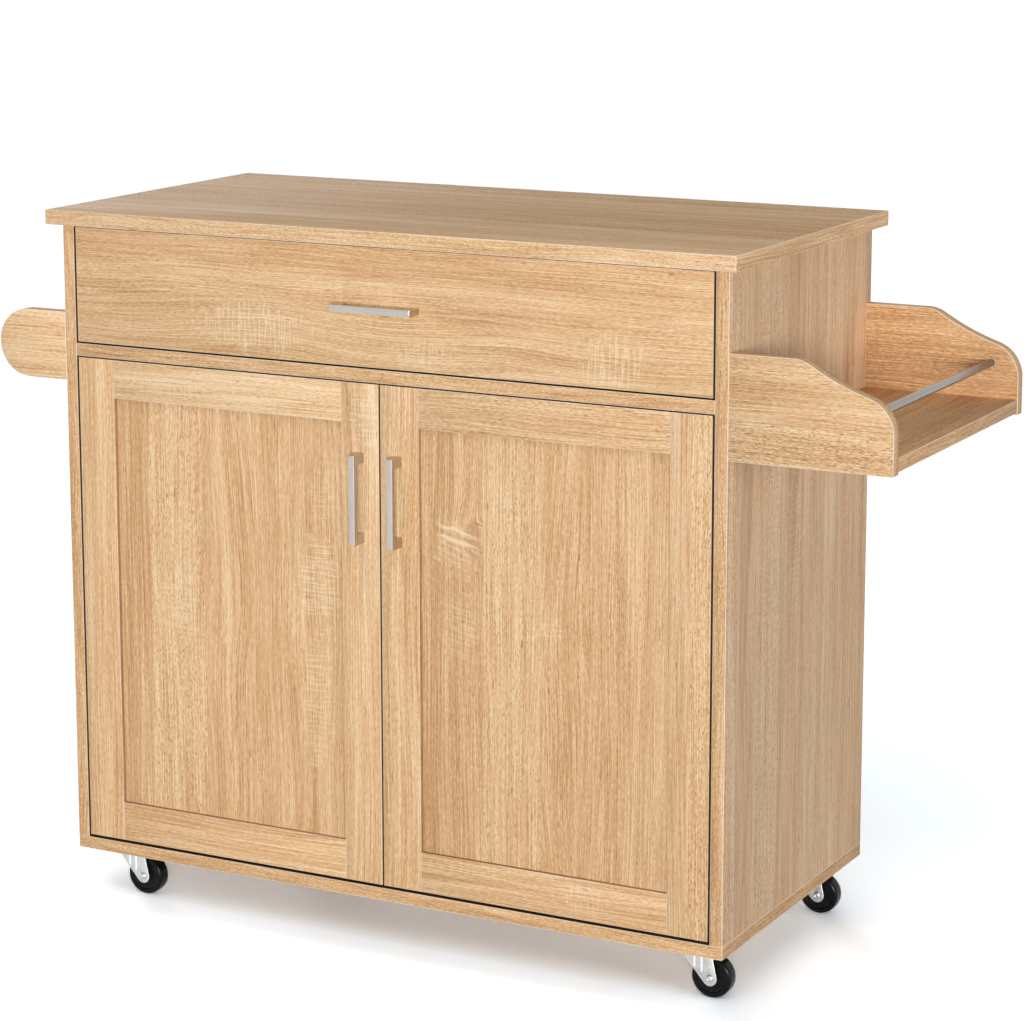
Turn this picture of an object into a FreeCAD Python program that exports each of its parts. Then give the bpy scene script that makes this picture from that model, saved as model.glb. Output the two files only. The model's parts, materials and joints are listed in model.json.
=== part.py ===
"""Kitchen cart on four swivel casters: a drawer over two framed doors, a spice rack and a towel bar.

Every length is in millimetres. X runs to the right, Y to the rear and Z up. The origin is on the
floor, under the middle of the whole cart from the towel arms' ends to the spice rack's outer edge.
"""
import FreeCAD, Part
import os
import re
import Sketcher

V = FreeCAD.Vector

# Driving sizes: name, value, what it measures
SIZES = [
    # Worktop and carcass
    ("cart_height", "874", "floor to the worktop's upper face"),
    ("top_length", "915", "worktop, left to right"),
    ("top_depth", "457", "worktop, front to rear"),
    ("top_thickness", "18", "worktop"),
    ("cabinet_width", "886", "outer faces of the side panels"),
    ("cabinet_depth", "425", "front edge to rear edge of the side panels"),
    ("board", "16", "carcass boards"),
    ("floor_gap", "64", "floor to the bottom board"),
    ("drawer_opening", "146", "divider board to worktop"),
    ("back_thickness", "3", "back panel"),
    ("back_inset", "10", "rear edge of the sides to the back panel"),
    ("groove_depth", "5", "grooves that hold thin panels"),
    ("groove_play", "0.2", "clearance of a thin panel in its groove"),
    # Doors
    ("front_thickness", "16", "doors and drawer front"),
    ("side_gap", "2.5", "door or drawer front to the side panel"),
    ("centre_gap", "2", "between the two doors"),
    ("door_head_gap", "1.5", "door to divider board"),
    ("door_foot_gap", "3.5", "door to bottom board"),
    ("stile_width", "51.2", "door stiles"),
    ("top_rail_width", "47.5", "door top rail"),
    ("bottom_rail_width", "49", "door bottom rail"),
    ("panel_thickness", "5", "door panel"),
    ("panel_recess", "6", "door panel behind the frame's front"),
    ("panel_bite", "6", "door panel's edge inside the frame"),
    # Drawer
    ("drawer_head_gap", "3", "drawer front to worktop"),
    ("drawer_foot_gap", "2", "drawer front to divider board"),
    ("drawer_board", "12", "drawer box sides and back"),
    ("drawer_depth", "380", "drawer box behind its front"),
    ("drawer_side_height", "110", "drawer box sides"),
    ("drawer_lift", "12", "divider board to drawer box"),
    ("drawer_floor", "4", "drawer bottom's thickness"),
    ("drawer_floor_lift", "10", "foot of the drawer sides to the drawer bottom"),
    ("slide_space", "13", "side panel to drawer side"),
    ("slide_length", "350", "slide rails"),
    ("slide_height", "35", "cabinet slide rail"),
    ("slide_rise", "45", "foot of the drawer box to the slide's middle"),
    ("slide_gauge", "1.2", "slide steel"),
    ("slide_lip", "11", "cabinet slide rail's flanges"),
    ("slide_play", "0.4", "drawer rail inside the cabinet rail"),
    ("slide_setback", "3", "back of the drawer front to the slides"),
    ("slide_screw_inset", "40", "slide's ends to its screws"),
    ("box_dowel_radius", "3", "dowels of the drawer box"),
    # Bar handles
    ("handle_centres", "96", "screw to screw"),
    ("handle_leg", "12", "leg, along the bar"),
    ("handle_width", "8", "bar, across"),
    ("handle_thickness", "6", "bar, front to rear"),
    ("handle_reach", "23", "front of the bar to the board it stands on"),
    ("handle_round", "2", "outer corners of the bar"),
    ("handle_inset", "24.5", "door's free edge to its handle's middle"),
    ("handle_drop", "136.5", "door's top to its handle's middle"),
    ("handle_screw_length", "24", "handle screws"),
    # Door hinges
    ("cup_radius", "17.5", "hinge cup's bore in the door"),
    ("cup_depth", "12", "hinge cup's bore"),
    ("cup_play", "0.1", "hinge cup in its bore"),
    ("cup_wall", "0.8", "hinge cup's steel"),
    ("cup_inset", "22.5", "door's outer edge to the hinge pin"),
    ("pivot_depth", "9", "door's front to the hinge pin"),
    ("hinge_inset", "90", "door's top or foot to the hinge's middle"),
    ("flange_gauge", "1.2", "hinge cup's flange"),
    ("flange_length", "56", "hinge cup's flange, up and down"),
    ("flange_width", "14", "hinge cup's flange, across"),
    ("flange_centres", "45", "hinge cup's screws"),
    ("pin_radius", "1.75", "hinge pin"),
    ("pin_play", "0.05", "hinge pin in the arm's eye"),
    ("eye_radius", "3.5", "hinge arm's eye"),
    ("link_gauge", "2.5", "hinge arm's thickness"),
    ("link_height", "12", "hinge arm, up and down"),
    ("neck_back", "25", "hinge pin to the arm's cross run, front to rear"),
    ("neck_reach", "30", "hinge pin to the arm's bend, across"),
    ("plate_length", "36", "hinge plate on the side panel, front to rear"),
    ("plate_height", "34", "hinge plate on the side panel, up and down"),
    ("plate_gauge", "2", "hinge plate"),
    ("plate_centres", "20", "hinge plate's screws"),
    # Magnetic catches
    ("catch_length", "40", "catch body"),
    ("catch_depth", "14", "catch body, front to rear"),
    ("catch_height", "12", "catch body, up and down"),
    ("catch_ear", "9", "catch ears, each way"),
    ("catch_ear_gauge", "2", "catch ears"),
    ("catch_inset", "20", "door's free edge to the catch"),
    ("catch_gap", "0.3", "catch to strike plate"),
    ("strike_gauge", "1", "strike plate"),
    ("strike_height", "10", "strike plate, up and down"),
    # Shelf
    ("shelf_rise", "290", "bottom board to the shelf's underside"),
    ("shelf_setback", "62", "front edge of the sides to the shelf"),
    ("shelf_play", "0.8", "shelf to each side panel and to the back panel"),
    ("shelf_pin_radius", "2.5", "shelf pins"),
    ("shelf_pin_bite", "8", "shelf pin inside the side panel"),
    ("shelf_pin_reach", "9", "shelf pin under the shelf"),
    ("shelf_pin_pitch", "32", "rows of shelf pin holes"),
    ("shelf_pin_inset", "45", "shelf's front and rear edges to the pins"),
    # Spice rack
    ("rack_reach", "194", "side panel to the rack's outer edge"),
    ("rack_height", "121", "rack panels at the cabinet"),
    ("rack_drop", "92", "worktop's underside to the rack's top"),
    ("rack_flat", "76", "level part of a rack panel's top"),
    ("shoulder_radius", "38", "rack panel's upper curve"),
    ("dip_radius", "300", "rack panel's hollow curve"),
    ("corner_radius", "42", "rack panel's outer corner"),
    ("lip_height", "44", "rack panel's straight outer edge"),
    ("tray_lift", "2.5", "foot of the rack panels to the tray"),
    ("tray_inset", "0.5", "rack panels' outer edge to the tray's"),
    ("rail_radius", "5", "rack's round rail"),
    ("rail_inset", "35", "rack's outer edge to the rail"),
    ("rail_rise", "60.5", "foot of the rack panels to the rail"),
    ("rail_bite", "8", "rails inside the panels that hold them"),
    ("rail_play", "0.1", "rails in their seats"),
    ("tray_screw_length", "36", "screws from the cabinet into the tray"),
    ("tray_screw_inset", "60", "tray's ends to its screws"),
    # Towel arms
    ("arm_reach", "99", "side panel to the arms' round ends"),
    ("arm_height", "84.5", "towel arms"),
    ("arm_drop", "109", "worktop's underside to the arms' top"),
    ("bar_radius", "6", "towel bar"),
    # Dowels and cam fittings
    ("dowel_radius", "4", "dowels of the rack and the arms"),
    ("dowel_bite", "9", "dowel inside the board it is square to"),
    ("dowel_reach", "20", "dowel inside the board's end"),
    ("dowel_play", "0.1", "dowels in their holes"),
    ("cam_radius", "7.5", "cam disc"),
    ("cam_depth", "12.5", "cam disc"),
    ("cam_play", "0.1", "cam disc in its bore"),
    ("cam_inset", "24", "board's end to the cam disc's middle"),
    ("cam_setback", "62.5", "cabinet's front and rear to the cam discs"),
    ("cam_slot_length", "9", "screwdriver slot"),
    ("cam_slot_width", "1.8", "screwdriver slot"),
    ("cam_slot_depth", "1.6", "screwdriver slot"),
    ("bolt_radius", "3", "cam bolt"),
    ("bolt_bite", "10", "cam bolt inside the board it screws into"),
    ("bolt_play", "0.2", "cam bolt in its hole"),
    # Wood screws
    ("screw_radius", "2", "shank"),
    ("screw_length", "12", "shank"),
    ("screw_head_radius", "4", "head"),
    ("screw_head", "1.5", "head's height"),
    ("screw_play", "0.1", "shank in its hole"),
    # Casters
    ("caster_side_inset", "51", "side panel's outer face to the swivel axis"),
    ("caster_end_inset", "50", "cabinet's front or rear to the swivel axis"),
    ("caster_trail", "19", "swivel axis to the axle"),
    ("wheel_radius", "25", "wheel"),
    ("wheel_width", "18", "wheel at its rim"),
    ("wheel_round", "3", "wheel's rounded edges"),
    ("rim_depth", "6", "wheel's flat rim, along the radius"),
    ("dish_depth", "2", "hollow in each face of the wheel"),
    ("hub_radius", "8", "wheel's hub"),
    ("hub_play", "0.3", "hub to the fork"),
    ("fork_width", "26", "fork, outside"),
    ("fork_gauge", "2", "fork's steel"),
    ("fork_end_radius", "9", "fork's round ends"),
    ("fork_fore", "13", "swivel axis to the fork's leading edge"),
    ("fork_aft", "21", "swivel axis to the fork's trailing edge"),
    ("fork_skirt", "9.7", "upright part of the fork's leading edge"),
    ("race_radius", "16", "caster's ball race"),
    ("race_height", "4", "caster's ball race"),
    ("race_gap", "0.3", "race to the fork"),
    ("plate_size", "40", "caster plate, each way"),
    ("caster_plate_gauge", "2", "caster plate"),
    ("caster_screw_inset", "5.5", "caster plate's edges to its screws"),
    ("kingpin_radius", "4", "caster's kingpin"),
    ("kingpin_head_radius", "7", "kingpin's rivet head"),
    ("kingpin_head", "2", "kingpin's rivet head, its height"),
    ("swivel_play", "0.05", "kingpin in the fork"),
    ("axle_radius", "3", "axle"),
    ("axle_play", "0.05", "axle in the wheel"),
    ("axle_head_radius", "4.5", "axle's rivet heads"),
    ("axle_head", "1.8", "axle's rivet heads, their height"),
    # Shared by every cut
    ("overrun", "2", "how far a cutting shape runs past the face it opens"),
]

# Places and sizes that follow from the driving sizes
DERIVED = {
    "centre_x": "(arm_reach - rack_reach) / 2",
    "half_width": "cabinet_width / 2",
    "inner_half": "half_width - board",
    "front": "-cabinet_depth / 2",
    "rear": "cabinet_depth / 2",
    "floor_top": "floor_gap + board",
    "carcass_top": "cart_height - top_thickness",
    "divider_top": "carcass_top - drawer_opening",
    "divider_low": "divider_top - board",
    "back_front": "rear - back_inset - back_thickness",
    "back_rear": "rear - back_inset",
    "fronts_rear": "front + front_thickness",
    "door_low": "floor_top + door_foot_gap",
    "door_high": "divider_low - door_head_gap",
    "door_near": "centre_gap / 2",
    "door_far": "inner_half - side_gap",
    "handle_half": "(handle_centres + handle_leg) / 2",
    "drawer_low": "divider_top + drawer_foot_gap",
    "drawer_high": "carcass_top - drawer_head_gap",
    "box_half": "inner_half - slide_space",
    "box_low": "divider_top + drawer_lift",
    "box_high": "box_low + drawer_side_height",
    "box_rear": "fronts_rear + drawer_depth",
    "box_floor": "box_low + drawer_floor_lift",
    "slide_z": "box_low + slide_rise",
    "slide_front": "fronts_rear + slide_setback",
    "slide_rear": "slide_front + slide_length",
    "pivot_reach": "door_far - cup_inset",
    "pivot_y": "front + pivot_depth",
    "cup_inner": "cup_radius - cup_play - cup_wall",
    "wall_reach": "cup_inset + side_gap",
    "neck_lean": "link_gauge / 2 * sqrt(neck_back^2 + neck_reach^2) / neck_back",
    "shelf_low": "floor_top + shelf_rise",
    "shelf_front": "front + shelf_setback",
    "shelf_rear": "back_front - shelf_play",
    "rack_low": "carcass_top - rack_drop - rack_height",
    "rack_far": "half_width + rack_reach",
    "rail_reach": "rack_far - rail_inset",
    "rail_z": "rack_low + rail_rise",
    "panel_inner": "rear - board",
    "tray_low": "rack_low + tray_lift",
    "arm_low": "carcass_top - arm_drop - arm_height",
    "arm_straight": "arm_reach - arm_height / 2",
    "bar_reach": "half_width + arm_straight",
    "bar_z": "arm_low + arm_height / 2",
    "plate_low": "floor_gap - caster_plate_gauge",
    "fork_top": "plate_low - race_height - race_gap",
    "wheel_half": "wheel_width / 2",
    "hub_half": "fork_width / 2 - fork_gauge - hub_play",
}

SIDES = {"left": -1, "right": 1}
ENDS = {"front": -1, "rear": 1}
TURN_TO_AXIS = {
    "x": FreeCAD.Rotation(V(0, 1, 0), 90),
    "y": FreeCAD.Rotation(V(1, 0, 0), -90),
    "z": FreeCAD.Rotation(),
}
ABOUT_Y = FreeCAD.Rotation(V(0, 1, 0), 90)
HALF_TURN_ABOUT_Y = FreeCAD.Rotation(V(0, 1, 0), 180)
HALF_TURN_ABOUT_Z = FreeCAD.Rotation(V(0, 0, 1), 180)

doc = FreeCAD.newDocument("kitchen_cart")
sheet = doc.addObject("Spreadsheet::Sheet", "Sizes")
for row, (alias, value, note) in enumerate(SIZES, start=1):
    sheet.set(f"A{row}", alias)
    sheet.set(f"B{row}", value)
    sheet.set(f"C{row}", note)
    sheet.setAlias(f"B{row}", alias)
doc.recompute()
ALIASES = {alias for alias, _, _ in SIZES}
parts = []


# Writing sizes and places

def expr(text):
    """Turn a sum of named sizes into an expression on the sheet."""
    def spell(match):
        word = match.group(0)
        if word in DERIVED:
            return "(" + expr(DERIVED[word]) + ")"
        return "Sizes." + word if word in ALIASES else word
    return re.sub(r"[A-Za-z_]\w*", spell, str(text))


def value(text):
    """The present value of a sum of named sizes."""
    return float(sheet.evalExpression(expr(text)))


def place(thing, x, y, z, turn=None):
    """Tie the object's position to named sizes."""
    if turn:
        thing.Placement = FreeCAD.Placement(V(0, 0, 0), turn)
    for letter, text in zip("xyz", (x, y, z)):
        thing.setExpression("Placement.Base." + letter, expr(text))
    return thing


def across(side, near, far):
    """A stretch in X, measured outwards from the cabinet's middle plane on one side."""
    if side > 0:
        return f"centre_x + ({near})", f"centre_x + ({far})"
    return f"centre_x - ({far})", f"centre_x - ({near})"


def at(side, reach):
    """A place in X at the given reach from the cabinet's middle plane."""
    return f"centre_x + ({reach})" if side > 0 else f"centre_x - ({reach})"


def end_y(end, inset):
    """A place in Y at the given inset from the cabinet's front or rear."""
    return f"rear - ({inset})" if end > 0 else f"front + ({inset})"


def about(middle, half):
    """A stretch centred on a place."""
    return f"{middle} - ({half})", f"{middle} + ({half})"


# Solids

def block(name, x, y, z):
    """A rectangular board between two places on each axis."""
    slab = doc.addObject("Part::Box", name)
    for prop, (low, high) in zip(("Length", "Width", "Height"), (x, y, z)):
        slab.setExpression(prop, expr(f"({high}) - ({low})"))
    return place(slab, x[0], y[0], z[0])


def rod(name, axis, middle, ends, radius):
    """A round bar along an axis; middle holds its places on the other two axes."""
    bar = doc.addObject("Part::Cylinder", name)
    bar.setExpression("Radius", expr(radius))
    bar.setExpression("Height", expr(f"({ends[1]}) - ({ends[0]})"))
    spot = list(middle)
    spot.insert("xyz".index(axis), ends[0])
    return place(bar, *spot, turn=TURN_TO_AXIS[axis])


def join(name, *solids):
    """One solid from several that touch or overlap."""
    whole = doc.addObject("Part::MultiFuse", name)
    whole.Shapes = list(solids)
    whole.Refine = True
    return whole


def cut(name, base, *tools):
    """The base with every tool taken out of it."""
    result = doc.addObject("Part::Cut", name)
    result.Base = base
    result.Tool = tools[0] if len(tools) == 1 else join("tools", *tools)
    return result


def group(name, solids):
    """Separate solids of one kind, kept together."""
    whole = doc.addObject("Part::Compound", name)
    whole.Links = list(solids)
    return whole


def keep(thing):
    """Note an object as one of the cart's sub-parts."""
    parts.append(thing)
    return thing


def sketch_on(body, plane_role):
    """An empty sketch on one of the body's own planes."""
    plane = [item for item in body.Origin.OriginFeatures if item.Role == plane_role][0]
    sketch = body.newObject("Sketcher::SketchObject", body.Name + "_outline")
    sketch.AttachmentSupport = (plane, "")
    sketch.MapMode = "FlatFace"
    return sketch


def hold(sketch, kind, *where, text=None):
    """Add a constraint, tied to a sum of named sizes if it has one."""
    if text is None:
        sketch.addConstraint(Sketcher.Constraint(kind, *where))
        return
    number = sketch.addConstraint(Sketcher.Constraint(kind, *where, value(text)))
    label = f"size_{number}"
    sketch.renameConstraint(number, label)
    sketch.setExpression("Constraints." + label, expr(text))


def draw_polygon(sketch, corners):
    """A closed outline through corners given as sums of named sizes."""
    spots = [V(value(u), value(v), 0) for u, v in corners]
    for here, there in zip(spots, spots[1:] + spots[:1]):
        sketch.addGeometry(Part.LineSegment(here, there), False)
    for index in range(len(spots)):
        hold(sketch, "Coincident", index, 2, (index + 1) % len(spots), 1)
    for index, (u, v) in enumerate(corners):
        if u == "0":
            hold(sketch, "PointOnObject", index, 1, -2)
        else:
            hold(sketch, "DistanceX", -1, 1, index, 1, text=u)
        if v == "0":
            hold(sketch, "PointOnObject", index, 1, -1)
        else:
            hold(sketch, "DistanceY", -1, 1, index, 1, text=v)


def pad(body, sketch, thickness, symmetric=False):
    """Give a sketch its thickness."""
    feature = body.newObject("PartDesign::Pad", body.Name + "_pad")
    feature.Profile = sketch
    if symmetric:
        feature.SideType = "Symmetric"
    feature.setExpression("Length", expr(thickness))
    return feature


def round_edges(body, feature, chosen, radius):
    """Round the feature's edges that the test picks."""
    doc.recompute()
    names = [f"Edge{n}" for n, edge in enumerate(feature.Shape.Edges, start=1) if chosen(edge)]
    fillet = body.newObject("PartDesign::Fillet", body.Name + "_round")
    fillet.Base = (feature, names)
    fillet.setExpression("Radius", expr(radius))
    return fillet


# Fasteners

def drive(axis, middle, seat, into, length="screw_length"):
    """A wood screw and its hole: the head sits on the seat and the shank runs into the board."""
    if into > 0:
        shank_ends, head_ends = (seat, f"{seat} + {length}"), (f"{seat} - screw_head", seat)
        hole_ends = (f"{seat} - overrun", f"{seat} + {length} + screw_play")
    else:
        shank_ends, head_ends = (f"{seat} - ({length})", seat), (seat, f"{seat} + screw_head")
        hole_ends = (f"{seat} - ({length}) - screw_play", f"{seat} + overrun")
    shank = rod("shank", axis, middle, shank_ends, "screw_radius")
    head = rod("head", axis, middle, head_ends, "screw_head_radius")
    hole = rod("screw_hole", axis, middle, hole_ends, "screw_radius + screw_play")
    return join("screw", shank, head), hole


def peg(axis, middle, ends, radius, play):
    """A round peg and the hole that holds it."""
    pin = rod("peg", axis, middle, ends, radius)
    loose = (f"{ends[0]} - {play}", f"{ends[1]} + {play}")
    return pin, rod("peg_hole", axis, middle, loose, f"{radius} + {play}")


def slotted_disc(axis, middle, ends, slot):
    """A cam disc with its screwdriver slot, and its bore."""
    disc = rod("disc", axis, middle, ends, "cam_radius")
    spread = (f"({ends[0]}) - cam_play", f"({ends[1]}) + cam_play")
    return cut("cam", disc, slot), rod("cam_bore", axis, middle, spread, "cam_radius + cam_play")


def carcass_cams(side):
    """Cam discs and bolts that tie a side panel to the worktop and the bottom board."""
    high, low = "carcass_top - cam_inset", "floor_top + cam_inset"
    bolt_ends = {
        high: (f"{high} + cam_radius + 2 * cam_play", "carcass_top + bolt_bite"),
        low: ("floor_top - bolt_bite", f"{low} - cam_radius - 2 * cam_play"),
    }
    pieces = []
    for end in ENDS.values():
        y = end_y(end, "cam_setback")
        for level, ends in bolt_ends.items():
            slot = block("slot", across(side, "inner_half - overrun", "inner_half + cam_slot_depth"),
                         about(y, "cam_slot_width / 2"), about(level, "cam_slot_length / 2"))
            disc_ends = across(side, "inner_half", "inner_half + cam_depth")
            disc, bore = slotted_disc("x", (y, level), disc_ends, slot)
            middle = at(side, "half_width - board / 2")
            bolt, hole = peg("z", (middle, y), ends, "bolt_radius", "bolt_play")
            pieces.append((disc, bore, bolt, hole))
    return pieces


def divider_cams(side):
    """Cam discs and bolts that tie the divider board to a side panel."""
    pieces = []
    for end in ENDS.values():
        y = end_y(end, "cam_setback")
        reach = "inner_half - cam_inset"
        x = at(side, reach)
        slot = block("slot", about(x, "cam_slot_length / 2"), about(y, "cam_slot_width / 2"),
                     ("divider_low - overrun", "divider_low + cam_slot_depth"))
        disc, bore = slotted_disc("z", (x, y), ("divider_low", "divider_low + cam_depth"), slot)
        ends = across(side, f"{reach} + cam_radius + 2 * cam_play", "inner_half + bolt_bite")
        bolt, hole = peg("x", (y, "divider_low + board / 2"), ends, "bolt_radius", "bolt_play")
        pieces.append((disc, bore, bolt, hole))
    return pieces


def end_dowels(side, end, levels):
    """Dowels that hold a rack panel or a towel arm on the side panel."""
    y = end_y(end, "board / 2")
    ends = across(side, "half_width - dowel_bite", "half_width + dowel_reach")
    return [peg("x", (y, level), ends, "dowel_radius", "dowel_play") for level in levels]


# Carcass fittings, with the holes they need in the boards
carcass_fittings = {name: carcass_cams(side) for name, side in SIDES.items()}
divider_fittings = {name: divider_cams(side) for name, side in SIDES.items()}

rack_dowels = {
    name: end_dowels(1, end, ("rack_low + rack_height / 4", "rack_low + 3 * rack_height / 4"))
    for name, end in ENDS.items()
}
arm_dowels = {
    name: end_dowels(-1, end, ("arm_low + arm_height / 4", "arm_low + 3 * arm_height / 4"))
    for name, end in ENDS.items()
}

tray_screws = [
    drive("x", (y, "tray_low + board / 2"), at(1, "inner_half"), 1, "tray_screw_length")
    for y in (end_y(-1, "board + tray_screw_inset"), "0", end_y(1, "board + tray_screw_inset"))
]


def shelf_pegs(side):
    """The two pins that carry one end of the shelf."""
    ends = across(side, "inner_half - shelf_pin_reach", "inner_half + shelf_pin_bite")
    level = "shelf_low - shelf_pin_radius"
    spots = ("shelf_front + shelf_pin_inset", "shelf_rear - shelf_pin_inset")
    return [rod("shelf_pin", "x", (y, level), ends, "shelf_pin_radius") for y in spots]


def shelf_pin_holes(side):
    """Three rows of holes, so that the shelf can be set higher or lower."""
    holes = []
    for row in (-1, 0, 1):
        level = f"shelf_low - shelf_pin_radius + {row} * shelf_pin_pitch"
        for y in ("shelf_front + shelf_pin_inset", "shelf_rear - shelf_pin_inset"):
            ends = across(side, "inner_half - overrun", "inner_half + shelf_pin_bite + dowel_play")
            holes.append(rod("pin_hole", "x", (y, level), ends, "shelf_pin_radius + dowel_play"))
    return holes


# Drawer slides

def cabinet_rail(side):
    """The outer slide rail, a channel that opens towards the drawer, and its screws."""
    y = ("slide_front", "slide_rear")
    blank = block("channel", across(side, "inner_half - slide_lip", "inner_half"), y,
                  about("slide_z", "slide_height / 2"))
    hollow = block("hollow", across(side, "inner_half - slide_lip - overrun", "inner_half - slide_gauge"),
                   ("slide_front - overrun", "slide_rear + overrun"),
                   about("slide_z", "slide_height / 2 - slide_gauge"))
    seat = at(side, "inner_half - slide_gauge")
    spots = ("slide_front + slide_screw_inset", "slide_rear - slide_screw_inset")
    screws = [drive("x", (spot, "slide_z"), seat, side) for spot in spots]
    return cut("rail", blank, hollow, *[hole for _, hole in screws]), screws


def drawer_rail(side):
    """The inner slide rail, which the drawer side carries, and its screws."""
    half = "slide_height / 2 - slide_gauge - slide_play"
    far = "inner_half - slide_gauge - slide_play"
    blank = block("channel", across(side, "box_half", far), ("slide_front", "slide_rear"),
                  about("slide_z", half))
    hollow = block("hollow", across(side, "box_half + slide_gauge", f"{far} + overrun"),
                   ("slide_front - overrun", "slide_rear + overrun"),
                   about("slide_z", f"{half} - slide_gauge"))
    seat = at(side, "box_half + slide_gauge")
    spots = ("slide_front + slide_screw_inset", "slide_rear - slide_screw_inset")
    screws = [drive("x", (spot, "slide_z"), seat, -side, "drawer_board - slide_gauge") for spot in spots]
    return cut("rail", blank, hollow, *[hole for _, hole in screws]), screws


# Door hinges

def hinge_levels():
    """The heights of a door's two hinges."""
    return "door_low + hinge_inset", "door_high - hinge_inset"


def hinge_arm(side, level):
    """The bent arm from the side panel to the hinge pin, with its plate and screws."""
    strip = doc.addObject("PartDesign::Body", "hinge_strip")
    sketch = sketch_on(strip, "XY_Plane")
    draw_polygon(sketch, [
        ("-neck_lean", "0"),
        ("-neck_reach - neck_lean", "neck_back"),
        ("-neck_reach - neck_lean", "neck_back + link_gauge"),
        ("wall_reach", "neck_back + link_gauge"),
        ("wall_reach", "neck_back"),
        ("-neck_reach + neck_lean", "neck_back"),
        ("neck_lean", "0"),
    ])
    pad(strip, sketch, "link_height", symmetric=True)
    place(strip, at(side, "pivot_reach"), "pivot_y", level, HALF_TURN_ABOUT_Y if side < 0 else None)
    link = about(level, "link_height / 2")
    eye = rod("eye", "z", (at(side, "pivot_reach"), "pivot_y"), link, "eye_radius")
    plate_front = "pivot_y + neck_back"
    plate = block("plate", across(side, "inner_half - plate_gauge", "inner_half"),
                  (plate_front, f"{plate_front} + plate_length"), about(level, "plate_height / 2"))
    loose = (f"{link[0]} - overrun", f"{link[1]} + overrun")
    bore = rod("eye_bore", "z", (at(side, "pivot_reach"), "pivot_y"), loose, "pin_radius + pin_play")
    screws = [
        drive("x", (f"{plate_front} + 2 * plate_length / 3", f"{level} + {way} * plate_centres / 2"),
              at(side, "inner_half - plate_gauge"), side)
        for way in (-1, 1)
    ]
    arm = cut("arm", join("bent_arm", strip, eye, plate), bore, *[hole for _, hole in screws])
    return arm, screws


def hinge_cup(side, level):
    """The steel cup in the door, its pin and its two screws, with the bore for the cup."""
    x = at(side, "pivot_reach")
    outer = rod("cup", "y", (x, level), ("fronts_rear - cup_depth", "fronts_rear"), "cup_radius - cup_play")
    collar = rod("collar", "y", (x, level), ("fronts_rear", "fronts_rear + flange_gauge"),
                 "cup_radius + cup_wall")
    wing = block("wing", about(x, "flange_width / 2"), ("fronts_rear", "fronts_rear + flange_gauge"),
                 about(level, "flange_length / 2"))
    inside = rod("inside", "y", (x, level),
                 ("fronts_rear - cup_depth + cup_wall", "fronts_rear + flange_gauge + overrun"), "cup_inner")
    bore = rod("cup_bore", "y", (x, level), ("fronts_rear - cup_depth", "fronts_rear + overrun"),
               "cup_radius")
    screws = [
        drive("y", (x, f"{level} + {way} * flange_centres / 2"), "fronts_rear + flange_gauge", -1)
        for way in (-1, 1)
    ]
    cup = cut("hinge_cup", join("cup_shell", outer, collar, wing), inside, *[hole for _, hole in screws])
    half_pin = "cup_inner - 2 * cup_play"
    pin = rod("hinge_pin", "z", (x, "pivot_y"), about(level, half_pin), "pin_radius")
    return cup, pin, bore, screws


# Handles

def bar_handle(name, x, z, upright):
    """A square bar on two legs, screwed on from behind, with its screws."""
    body = doc.addObject("PartDesign::Body", name + "_bar")
    sketch = sketch_on(body, "XY_Plane")
    inner_x, inner_y = "handle_half - handle_leg", "-handle_reach + handle_thickness"
    draw_polygon(sketch, [
        ("-handle_half", "0"),
        ("-handle_half", "-handle_reach"),
        ("handle_half", "-handle_reach"),
        ("handle_half", "0"),
        (inner_x, "0"),
        (inner_x, inner_y),
        (f"-({inner_x})", inner_y),
        (f"-({inner_x})", "0"),
    ])
    feature = pad(body, sketch, "handle_width", symmetric=True)

    def at_outer_corner(edge):
        box = edge.BoundBox
        runs_across = box.ZLength > box.XLength + box.YLength
        return runs_across and abs(box.YMin + value("handle_reach")) < box.ZLength / 8

    round_edges(body, feature, at_outer_corner, "handle_round")
    place(body, x, "front", z, ABOUT_Y if upright else None)
    screws = []
    for way in (-1, 1):
        shift = f"{way} * handle_centres / 2"
        middle = (x, f"{z} + {shift}") if upright else (f"{x} + {shift}", z)
        screws.append(drive("y", middle, "fronts_rear", -1, "handle_screw_length"))
    return cut(name, body, *[hole for _, hole in screws]), screws


# Boards of the carcass

def tabletop():
    """The worktop, with blind holes under it for the cam bolts."""
    blank = block("tabletop_blank", about("centre_x", "top_length / 2"), about("0", "top_depth / 2"),
                  ("carcass_top", "cart_height"))
    return cut("tabletop", blank, *[hole for cams in carcass_fittings.values() for _, _, _, hole in cams])


def side_panel(side_name, slide_screws, hinge_screws):
    """A side panel, grooved for the back panel and drilled for what it carries."""
    name, side = f"{side_name}_panel", SIDES[side_name]
    blank = block(name + "_blank", across(side, "inner_half", "half_width"), ("front", "rear"),
                  ("floor_top", "carcass_top"))
    groove = block("groove", across(side, "inner_half - overrun", "inner_half + groove_depth"),
                   ("back_front - groove_play", "back_rear + groove_play"),
                   ("floor_top - overrun", "carcass_top + overrun"))
    tools = [groove] + shelf_pin_holes(side)
    for _, bore, _, hole in carcass_fittings[side_name]:
        tools += [bore, hole]
    tools += [hole for _, _, _, hole in divider_fittings[side_name]]
    outer_dowels = rack_dowels if side > 0 else arm_dowels
    tools += [hole for pegs in outer_dowels.values() for _, hole in pegs]
    tools += [hole for _, hole in slide_screws + hinge_screws]
    if side > 0:
        tools += [hole for _, hole in tray_screws]
    return cut(name, blank, *tools)


def bottom_board(caster_screws):
    """The bottom board, which carries the sides and the casters."""
    blank = block("bottom_board_blank", about("centre_x", "half_width"), ("front", "rear"),
                  ("floor_gap", "floor_top"))
    bolts = [hole for cams in carcass_fittings.values() for _, _, _, hole in cams]
    return cut("bottom_board", blank, *bolts, *[hole for _, hole in caster_screws])


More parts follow.
